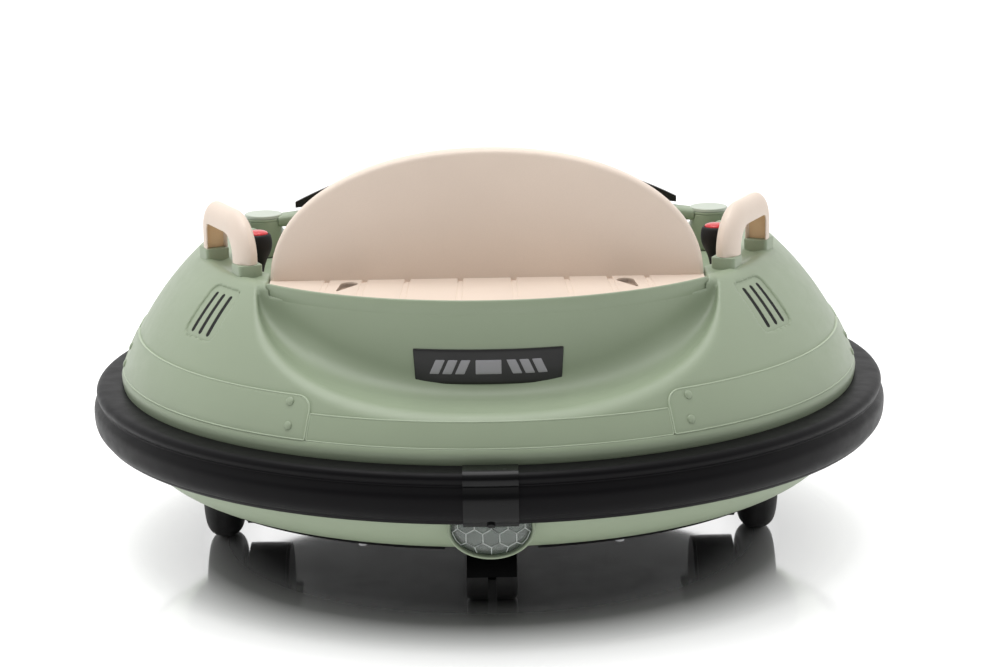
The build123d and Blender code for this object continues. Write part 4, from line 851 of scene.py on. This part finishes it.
def seat_field(x, y, z):
    """Backrest, arm flange and bucket as one moulding."""
    up = np.maximum(z - SHELF_Z, 0)
    tall = BACK_TOP_Z - SHELF_Z
    power = BACK_POWER
    size = ((np.abs(x) / BACK_HALF) ** power + (up / tall) ** power + 1e-9) ** (1 / power)
    steep_x = (np.abs(x) / BACK_HALF / size) ** (power - 1) / BACK_HALF
    steep_z = (up / tall / size) ** (power - 1) / tall
    arch = np.where(size < 0.3, -60, (size - 1) / np.maximum(np.hypot(steep_x, steep_z), 1e-5))
    narrow = np.minimum(SHELF_Z - 4 - z, np.abs(x) - 167)
    back = both(np.maximum(arch, narrow), np.abs(y - BACK_REAR_Y + BACK_THICK / 2) - BACK_THICK / 2, 4.5)
    back = np.maximum(back, 248.6 - z)
    flange = rounded_rectangle(x, y, (0, 49), (176, 95), 12)
    flange = both(flange, np.abs(z - ARM_Z) - ARM_HALF_THICK, 2.4)
    bucket = rounded_rectangle(x, y, (0, 20), (163.4, 107.4), 28)
    bucket = np.maximum(bucket, BUCKET_FRONT_Y - y)
    bucket = np.maximum(bucket, np.abs(z - BUCKET_Z) - BUCKET_HALF_TALL)
    solid = join(join(flange, bucket, 1.5), back, 7)
    hollow = rounded_rectangle(x, y, (0, 10), (158.4, 112.4), 26)
    return cut(solid, both(hollow, 168 - z, 14), 2.6)


GROOVES = (23.5, 70.5, 108.5, 142.0)


def make_seat():
    low, high = (0, -50, 152), (198, 166, 402)
    points, faces = mirrored(*field_mesh(seat_field, low, high, CELL_SEAT))
    new_piece("seat_moulding", points, faces, "cream_plastic", replaces="seat")
    make_shelf()


def shelf_across():
    """Places across the shelf, close together at the grooves."""
    edge = 0.6
    places = {s * x for s in (-1, 1) for x in (BACK_HALF, BACK_HALF - edge, BACK_HALF - 2)}
    for groove in GROOVES:
        for offset in (-3.4, -2.9, -2.4, -1.9, -1.4, 0, 1.4, 1.9, 2.4, 2.9, 3.4):
            places |= {groove + offset, -groove - offset}
    coarse = [x * 6.0 for x in range(-31, 32)]
    for x in coarse:
        if min(abs(x - p) for p in places) > 2.2:
            places.add(x)
    return sorted(places)


def make_shelf():
    """The shelf behind the backrest, with fanned pairs of lines and two tapered pockets."""
    across = shelf_across()
    start_y = BACK_REAR_Y - 4
    rows_v = [0, 0.03, 0.07, 0.11, 0.15, 0.18, 0.20, 0.22] + [0.22 + 0.78 * i / 26 for i in range(1, 26)]
    rows_v += [0.985, 0.995, 1.0]
    rows = []
    for v in rows_v:
        row = []
        for x in across:
            fan = 1 + 0.05 * v * (1 - (x / BACK_HALF) ** 2)
            px = x * fan
            edge_y = sqrt(SHELF_R**2 - px**2)
            y = start_y + v * (edge_y - start_y)
            offset = min(abs(abs(x) - g) for g in GROOVES)
            line = max(0, 1 - abs(offset - 2.4) / 0.6)
            slot = 1 if offset < 2.0 else 0
            fade = 1 - min(1, max(0, (v - 0.80) / 0.12))
            dip = 0.45 * line * fade
            if v < 0.20:
                dip = max(dip, 2.2 * slot * (1 if v < 0.18 else 0.5))
            roll = 1.2 * max(0, (v - 0.97) / 0.03) ** 2
            row.append((px, y, SHELF_Z - dip - roll))
        rows.append(row)
    under = [[(x, y, SHELF_Z - 4.0) for x, y, _ in row] for row in rows]
    n, m = len(rows), len(across)
    points = [p for row in rows + under for p in row]
    faces = []
    for i in range(n - 1):
        for k in range(m - 1):
            a, b, c, d = i * m + k, i * m + k + 1, (i + 1) * m + k + 1, (i + 1) * m + k
            faces.append((a, b, c, d))
            faces.append((d + n * m, c + n * m, b + n * m, a + n * m))
    border = [(0, k) for k in range(m)] + [(i, m - 1) for i in range(1, n)]
    border += [(n - 1, k) for k in range(m - 2, -1, -1)] + [(i, 0) for i in range(n - 2, 0, -1)]
    ring = [i * m + k for i, k in border]
    for a, b in zip(ring, ring[1:] + ring[:1]):
        faces.append((a, a + n * m, b + n * m, b))
    shelf = new_piece("seat_shelf", points, faces, "cream_plastic")
    for name, side in SIDES.items():
        cup = pocket_prism(side, 3.0, 254, 281.5, f"seat_pocket_{name}")
        for piece in (cup, shelf):
            take_away(piece, pocket_prism(side, 0.0, 264, 300, "cutter"))
    auto_smooth(shelf, 32)


def pocket_prism(side, grow, low, high, name):
    """A tapered pocket: round towards the backrest, pointed towards the rim."""
    centre, r, tip, tip_r = (122.0, 177.0), 7.6 + grow, (131.5, 205.0), 1.0 + grow
    spread = degrees(atan2(tip[1] - centre[1], tip[0] - centre[0]))
    outline = arc(centre, r, spread + 78, spread + 282, 24) + arc(tip, tip_r, spread - 78, spread + 78, 8)
    ring = [(side * x, y) for x, y in outline]
    n = len(ring)
    points = [(x, y, low) for x, y in ring] + [(x, y, high) for x, y in ring]
    faces = [tuple(range(n)), tuple(range(n, 2 * n))]
    faces += [(i, (i + 1) % n, n + (i + 1) % n, n + i) for i in range(n)]
    return new_piece(name, points, faces, "cream_plastic")


make_seat()

# ---- bumper ring and clips


def chaikin(points, times):
    """Round the corners of an open line of points."""
    for _ in range(times):
        out = [points[0]]
        for a, b in zip(points, points[1:]):
            out.append((a[0] * 0.75 + b[0] * 0.25, a[1] * 0.75 + b[1] * 0.25))
            out.append((a[0] * 0.25 + b[0] * 0.75, a[1] * 0.25 + b[1] * 0.75))
        out.append(points[-1])
        points = out
    return points


RING_LINE = (
    (RING_INNER_R, 161.0), (RING_INNER_R, 163.0), (362.0, 163.0), (369.5, 162.2), (372.8, 158.0),
    (371.8, 153.6), (369.8, 151.2), (372.0, 148.6), (375.2, 143.5), (375.4, 136.0), (374.6, 128.0),
    (371.4, 122.8), (369.4, 121.6), (368.8, 119.8), (366.5, 117.6), (360.0, 115.5), (350.0, 115.5),
    (RING_INNER_R, 115.6), (RING_INNER_R, 118.0),
)


def make_bumpers():
    section = chaikin(list(RING_LINE), 3)
    for name, side in SIDES.items():
        rows = lathe_rows(section, 150, start=side * 0.03, turn=side * 179.94)
        mesh = end_capped(rows)
        new_piece(f"ring_{name}", *mesh, "bumper_rubber", sharp=50, replaces=f"bumper_{name}")


def make_clips():
    section = [p for p in chaikin(list(RING_LINE), 3) if p[0] > 351.5]
    closed = moved_in(section, 2.1, False) + moved_in(section, 0.15, False)[::-1]
    half = 23.2
    for name, end in ENDS.items():
        rows = []
        for i in range(25):
            x = half * (i / 12 - 1)
            rows.append([(x, end * sqrt(r * r - x * x), z) for r, z in closed])
        node = f"{name}_bumper_clip"
        piece = new_piece(f"{name}_clip", *end_capped(rows), "clip_black", sharp=50, replaces=node)
        soften(piece, 0.45, 2, 60)


make_bumpers()
make_clips()
make_rim()

# ---- handles and sticks


def sweep_section(path, section, inward):
    """Carry a section along a path; section points are (across, inward) distances."""
    rows = []
    for i, p in enumerate(path):
        a = path[max(i - 1, 0)]
        b = path[min(i + 1, len(path) - 1)]
        along = (b - a).normalized()
        across = along.cross(inward(i)).normalized()
        normal = across.cross(along).normalized() * -1
        if normal.dot(inward(i)) < 0:
            normal = -normal
        rows.append([p + across * s + normal * t for s, t in section])
    return rows


def corner_arc(before, corner, after, radius, steps=12):
    """Points of the arc that rounds a corner between two straight runs."""
    u, v = (before - corner).normalized(), (after - corner).normalized()
    half = u.angle(v) / 2
    reach = radius / np.tan(half)
    centre = corner + (u + v).normalized() * (radius / sin(half))
    start, end = corner + u * reach, corner + v * reach
    out = []
    for i in range(steps + 1):
        t = i / steps
        d = (start - centre).normalized().slerp((end - centre).normalized(), t)
        out.append(centre + d * radius)
    return out


HANDLE_WIDE, HANDLE_DEEP = 10.45, 11.3     # half sizes of the grip


def handle_section():
    """Rounded on the outside, with a channel along the inner side; (across, inward) points."""
    half = [(0.0, 3.8), (7.4, 3.8), (8.5, 4.6), (8.8, 8.7), (9.2, 9.2), (9.9, 9.2), (10.35, 8.7)]
    for i in range(0, 10):
        a = radians(10 * i)
        half.append((HANDLE_WIDE * cos(a), 5.0 - (HANDLE_DEEP + 5.0) * sin(a)))
    half.append((0.0, -HANDLE_DEEP))
    return half + [(-x, y) for x, y in reversed(half[1:-1])]


def make_handles():
    section = handle_section()
    channel = [(-8.3, 3.6), (8.3, 3.6), (8.3, 4.15), (-8.3, 4.15)]
    for name, side in SIDES.items():
        rear = Vector((side * HANDLE_REAR[0], HANDLE_REAR[1], HANDLE_FOOT_Z))
        front = Vector((side * HANDLE_FRONT[0], HANDLE_FRONT[1], HANDLE_FOOT_Z))
        rise = Vector((0, 0, HANDLE_AXIS_Z - HANDLE_FOOT_Z))
        path = [rear, rear + Vector((0, 0, 2))]
        path += corner_arc(rear, rear + rise, front + rise, 30, 22)
        path += corner_arc(rear + rise, front + rise, front, 15, 16)
        path += [front + Vector((0, 0, 10)), front + Vector((0, 0, 5)), front]
        middle = (rear + front) / 2

        def inward(i, path=path, middle=middle):
            a, b = path[max(i - 1, 0)], path[min(i + 1, len(path) - 1)]
            along = (b - a).normalized()
            goal = middle - path[i]
            return (goal - along * goal.dot(along)).normalized()

        mesh = end_capped(sweep_section(path, section, inward))
        new_piece(f"grab_{name}", *mesh, "cream_plastic", sharp=40, replaces=f"{name}_handle")
        mesh = end_capped(sweep_section(path, channel, inward))
        # the channel wears the warmer tan: partly its own tan, partly painted bounce light inside the
        # recess
        new_piece(f"grab_channel_{name}", *mesh, "cream_plastic", CREAM_INNER, sharp=0)
        lean = degrees(atan2(front.y - rear.y, front.x - rear.x))
        for end, foot in (("rear", rear), ("front", front)):
            make_boss(f"handle_boss_{end}_{name}", foot, lean)


def make_boss(name, foot, lean):
    """A raised square foot with rounded corners for a handle's leg."""
    outline = rounded_outline(11.4, 11.2, 3, step=2.0)
    turn = Matrix.Rotation(radians(lean), 3, "Z")

    def place(u, v, lift):
        return turn @ Vector((u, v, 0)) + Vector((foot.x, foot.y, lift))

    top = HANDLE_FOOT_Z - 0.1
    loops = ((0, top - 22), (0, top - 1.0), (0.35, top - 0.3), (1.0, top))
    plate(name, outline, place, loops, "sage_plastic", rings=3)


make_handles()


def spun(name, profile, centre, slot, body="chassis", steps=64, replaces=None):
    """A closed body of revolution about a vertical axis; the profile starts and ends on the axis."""
    mesh = sheet_of(lathe_rows(profile, steps, centre=centre), closed_along=True)
    piece = new_piece(name, *mesh, slot, body=body, replaces=replaces)
    weld(piece, 0.01)
    return auto_smooth(piece, 45)


def make_sticks():
    """Pear-shaped rubber grips with a domed red thumb button."""
    top = STICK_TOP_Z
    grip = [(0.0, 227.0), (4.9, 227.0), (4.9, 262.0)]
    pear = [(4.9, 262), (5.2, 272), (7.6, 281), (12.6, 290), (14.2, 298), (12.9, top - 1.4), (10.9, top)]
    grip += chaikin(pear, 3) + [(10.5, top - 0.3), (10.4, top - 5.6), (0.0, top - 5.6)]
    dome = [(10.2, top - 1.8), (10.3, top + 0.6), (8.6, top + 2.0), (4.5, top + 2.9), (0.0, top + 3.1)]
    crown = [(0.0, top - 1.8), (10.2, top - 1.8)] + chaikin(dome, 2)
    for name, side in SIDES.items():
        centre = (side * STICK_X, STICK_Y)
        node = f"{name}_joystick"
        spun(f"grip_{name}", grip, centre, "grip_rubber", f"{name}_stick", replaces=node)
        node = f"{name}_joystick_button"
        spun(f"thumb_{name}", crown, centre, "red_plastic", f"{name}_stick_button", replaces=node)


make_sticks()

# ---- dashboard


def make_dash():
    """Two posts, the rounded beam between them and the console it carries."""
    post = [(0.0, DISH_Z + 0.2), (POST_R - 0.3, DISH_Z + 0.2), (POST_R, DISH_Z + 0.6)]
    post += [(POST_R, POST_TOP_Z - 3.4), (POST_R - 0.5, POST_TOP_Z - 3.1), (POST_R - 0.5, POST_TOP_Z - 2.5)]
    post += [(POST_R, POST_TOP_Z - 2.2), (POST_R, POST_TOP_Z - 0.4), (POST_R - 0.4, POST_TOP_Z)]
    post += [(0.0, POST_TOP_Z)]
    for name, side in SIDES.items():
        spun(f"post_{name}", post, (side * POST_X, POST_Y), "sage_plastic", steps=96)
    reach = POST_X - POST_R + 3
    rows = []
    for i in range(61):
        x = reach * (i / 30 - 1)
        swell = 1 - (x / reach) ** 2
        low, high = 277.0 + 3.0 * swell, 288.0 + 14.0 * swell
        ring = rounded_outline(12, (high - low) / 2, 4.6, step=3)
        rows.append([(x, POST_Y + u, (high + low) / 2 + v) for u, v in ring])
    wide = min(len(row) for row in rows)
    rows = [resampled(row, wide) for row in rows]
    new_piece("dash_beam", *end_capped(rows), "sage_plastic", sharp=40, replaces="dash_bridge")
    make_console()


def resampled(ring, count):
    """A closed ring of points spaced evenly."""
    points = np.array(ring + ring[:1], float)
    steps = np.hypot.reduce(np.diff(points, axis=0), axis=1)
    along = np.concatenate([[0], np.cumsum(steps)])
    goal = np.linspace(0, along[-1], count, endpoint=False)
    return [tuple(p) for p in np.stack([np.interp(goal, along, points[:, k]) for k in range(3)], 1)]


CONSOLE_HALF = (78.0, 22.0)
CONSOLE_Z, CONSOLE_FRONT_Y, CONSOLE_BACK_Y = 283.0, -178.0, -112.1


def make_console():
    """The console's box: rounded, hollow and open towards the rider."""
    front, back = CONSOLE_FRONT_Y, CONSOLE_BACK_Y
    outside = ((14, front), (4, front), (1.2, front + 1.2), (0, front + 4), (0, back - 0.6), (0.6, back))
    inside = ((3.6, back), (4, back - 0.6), (4, front + 6), (14, front + 5))
    loops = []
    for inset, y in outside + inside:
        half = (CONSOLE_HALF[0] - inset, CONSOLE_HALF[1] - inset)
        ring = rounded_outline(*half, max(7 - inset, 2), step=500)
        loops.append([(u, y, CONSOLE_Z + v) for u, v in ring])
    new_piece("console_box", *end_capped(loops), "sage_plastic", sharp=40)


make_dash()

# ---- lamps


def ellipse_rows(loops, end, steps=96):
    """Rings of ellipses (half width, half height, distance from the middle of the car)."""
    rows = []
    for a, b, y in loops:
        turn = [2 * pi * k / steps for k in range(steps)]
        rows.append([(a * cos(t), end * y, LAMP_Z + b * sin(t)) for t in turn])
    return rows


LENS_HALF = (LAMP_HALF_WIDE - 3.1, LAMP_HALF_TALL - 3.1)
LENS_EDGE_Y, LENS_RISE = LAMP_FACE_Y - 4.5, 6.5


def lens_face(x, z):
    """Distance from the middle of the car of the lens's outer face."""
    out = min((x / LENS_HALF[0]) ** 2 + ((z - LAMP_Z) / LENS_HALF[1]) ** 2, 1.0)
    return LENS_EDGE_Y + LENS_RISE * (1 - out ** 1.6)


HEX_PITCH, HEX_ROW_Z = 14.2, 98.0


def honeycomb():
    """The edges of the hexagons that lie on the lens, as pairs of (x, z) points."""
    r = HEX_PITCH / sqrt(3)
    edges = {}
    for row in range(-3, 4):
        for column in range(-4, 5):
            cx = (column + 0.5 * (row % 2)) * HEX_PITCH
            cz = HEX_ROW_Z + row * 1.5 * r
            ring = [(cx + r * sin(k * pi / 3), cz + r * cos(k * pi / 3)) for k in range(6)]
            for a, b in zip(ring, ring[1:] + ring[:1]):
                key = (round((a[0] + b[0]) * 5), round((a[1] + b[1]) * 5))
                inside = max(hypot(p[0] / LENS_HALF[0], (p[1] - LAMP_Z) / LENS_HALF[1]) for p in (a, b))
                if inside < 1.16:
                    edges[key] = (a, b)
    return [edges[key] for key in sorted(edges)]


def pulled_in(p):
    """A point kept just inside the lens's outline."""
    out = hypot(p[0] / LENS_HALF[0], (p[1] - LAMP_Z) / LENS_HALF[1])
    scale = min(1.0, 0.975 / out) if out > 0 else 1.0
    return p[0] * scale, LAMP_Z + (p[1] - LAMP_Z) * scale


BEZEL_ROWS = (                 # (inset, distance behind the lamp's face) from the back, round the lip
    (1.2, 38.0), (1.2, 20.0), (0.0, 3.0), (0.0, 1.2), (0.5, 0.3), (1.3, 0.0), (2.2, 0.4), (2.7, 1.4),
    (3.0, 24.0), (6.0, 29.6),
)


def make_lamps():
    """A bezel, a clear domed lens and the lens's honeycomb at each end."""
    for name, end in ENDS.items():
        loops = [(LAMP_HALF_WIDE - i, LAMP_HALF_TALL - i, LAMP_FACE_Y - back) for i, back in BEZEL_ROWS]
        loops.append((1, 1, LAMP_FACE_Y - 30))
        mesh, node = end_capped(ellipse_rows(loops, end)), f"{name}_lamp_housing"
        new_piece(f"{name}_lamp_ring", *mesh, "lamp_bezel", sharp=50, replaces=node)
        outer, inner = [], []
        for t in (1.0, 0.985, 0.95, 0.9, 0.8, 0.7, 0.6, 0.5, 0.4, 0.3, 0.2, 0.1, 0.01):
            y = LENS_EDGE_Y + LENS_RISE * (1 - t ** 3.2)
            outer.append((LENS_HALF[0] * t, LENS_HALF[1] * t, y))
            inner.append((LENS_HALF[0] * t * 0.97, LENS_HALF[1] * t * 0.97, y - 2.0))
        mesh, node = end_capped(ellipse_rows(inner[::-1] + outer, end)), f"{name}_lamp_lens"
        new_piece(f"{name}_lens", *mesh, "lamp_clear", sharp=60, replaces=node)
        make_ribs(name, end)


def make_ribs(name, end):
    """Raised honeycomb lines moulded on the lens."""
    half, ribs = 0.5, []
    for a, b in honeycomb():
        a, b = pulled_in(a), pulled_in(b)
        length = hypot(b[0] - a[0], b[1] - a[1])
        if length < 1.5:
            continue
        ux, uz = (b[0] - a[0]) / length, (b[1] - a[1]) / length
        rows = []
        for i in range(6):
            t = -half * 0.6 + (length + half * 1.2) * i / 5
            x, z = a[0] + ux * t, a[1] + uz * t
            y = lens_face(x, z)
            shape = ((-half, y - 0.4), (-half * 0.6, y + 0.45), (half * 0.6, y + 0.45), (half, y - 0.4))
            rows.append([(x - uz * s, end * depth, z + ux * s) for s, depth in shape])
        ribs.append(end_capped(rows))
    # the ribs wear the pale opaque look, a painted highlight on the clear lens
    new_piece(f"{name}_lens_ribs", *gather(ribs), "lamp_clear", LENS_RIB_HIGHLIGHT, sharp=0)


make_lamps()

# ---- stage, light and camera


# each fade is where it starts and ends, in metres or along a direction, and its values there
POLISH_FADE = (0.22, 0.35, 0.92, 0.0)
# the painted glow: emission on the floor from 0.28 m out, lifting the shade round the car
FLOOR_PAINTED_LIGHT_FADE = (0.28, 0.36, 0.0, 0.42)
FLOOR_REACH = 30.0
WORLD_LEAN = (0.05, 1.0, -0.45)
WORLD_FADE = (-0.32, 0.7, 1.04, 0.2)
CAMERA_PLACE, CAMERA_PITCH, CAMERA_ROLL = (0.0, 2.512, 0.782), 13.16, -0.95
CAMERA_LENS, CAMERA_SHIFT = 97.2, 0.0120


def make_stage():
    """A wide white floor, polished where the car stands, with a faint painted glow further out: emission
    that lifts the shade on the floor round the car.
    """
    paint = Paint("floor_white")
    drift = paint.spread(paint.noise(3), 0.3, 0.7, 0, 1)
    paint.colour(paint.mix(drift, (0.90, 0.90, 0.90, 1), (0.93, 0.93, 0.93, 1)))
    paint.roughness(paint.spread(paint.noise(9), 0.3, 0.7, 0.06, 0.09))
    length = paint.nodes.new("ShaderNodeVectorMath")
    length.operation = "LENGTH"
    paint.links.new(paint.where, length.inputs[0])
    polish = paint.spread(length.outputs["Value"], *POLISH_FADE)
    paint.links.new(polish, paint.shader.inputs["Metallic"])
    # painted light: the floor glows away from the car to lift the shade there
    painted_glow = paint.spread(length.outputs["Value"], *FLOOR_PAINTED_LIGHT_FADE)
    paint.links.new(painted_glow, paint.shader.inputs["Emission Strength"])
    paint.set(Emission_Color=(1, 1, 1, 1))
    mesh = bpy.data.meshes.new("floor")
    corners = [(FLOOR_REACH * x, FLOOR_REACH * y, 0) for x, y in ((-1, -1), (1, -1), (1, 1), (-1, 1))]
    mesh.from_pydata(corners, [], [(0, 1, 2, 3)])
    floor = bpy.data.objects.new("floor", mesh)
    bpy.context.scene.collection.objects.link(floor)
    mesh.materials.append(paint.material)


def add_area(name, place, aim, size, power):
    light = bpy.data.lights.new(name, "AREA")
    light.shape = "RECTANGLE"
    light.size, light.size_y = size
    light.energy = power
    lamp = bpy.data.objects.new(name, light)
    bpy.context.scene.collection.objects.link(lamp)
    lamp.location = place
    lamp.rotation_euler = (Vector(aim) - Vector(place)).to_track_quat("-Z", "Y").to_euler()


def light_up():
    """A white studio that is darker towards the camera and the ground, and two soft lights."""
    world = bpy.data.worlds.new("studio")
    bpy.context.scene.world = world
    world.use_nodes = True
    nodes, links = world.node_tree.nodes, world.node_tree.links
    where = nodes.new("ShaderNodeTexCoord")
    lean = nodes.new("ShaderNodeVectorMath")
    lean.operation = "DOT_PRODUCT"
    lean.inputs[1].default_value = WORLD_LEAN
    links.new(where.outputs["Generated"], lean.inputs[0])
    fade = nodes.new("ShaderNodeMapRange")
    fade.interpolation_type = "SMOOTHSTEP"
    for key, number in zip(RANGE_INPUTS, WORLD_FADE):
        fade.inputs[key].default_value = number
    links.new(lean.outputs["Value"], fade.inputs["Value"])
    background = nodes["Background"]
    background.inputs["Color"].default_value = (1.0, 1.0, 1.0, 1)
    links.new(fade.outputs["Result"], background.inputs["Strength"])
    add_area("overhead", (0.3, 0.1, 2.3), (0, 0, 0.2), (1.8, 1.6), 27)
    add_area("left_side", (2.2, 1.0, 1.5), (0, 0, 0.2), (1.2, 1.2), 2)


def make_camera():
    """Behind the car, a little above the backrest, looking slightly down along -Y."""
    camera = bpy.data.cameras.new("camera")
    camera.lens = CAMERA_LENS
    camera.sensor_width = 36
    camera.shift_x = CAMERA_SHIFT
    camera.clip_start, camera.clip_end = 0.05, 100
    holder = bpy.data.objects.new("camera", camera)
    bpy.context.scene.collection.objects.link(holder)
    turn = Matrix.Rotation(pi, 4, "Z") @ Matrix.Rotation(radians(90 - CAMERA_PITCH), 4, "X")
    turn = turn @ Matrix.Rotation(radians(CAMERA_ROLL), 4, "Z")
    holder.matrix_world = Matrix.Translation(CAMERA_PLACE) @ turn
    bpy.context.scene.camera = holder


make_stage()
light_up()
make_camera()
bpy.context.scene.view_settings.view_transform = "Standard"
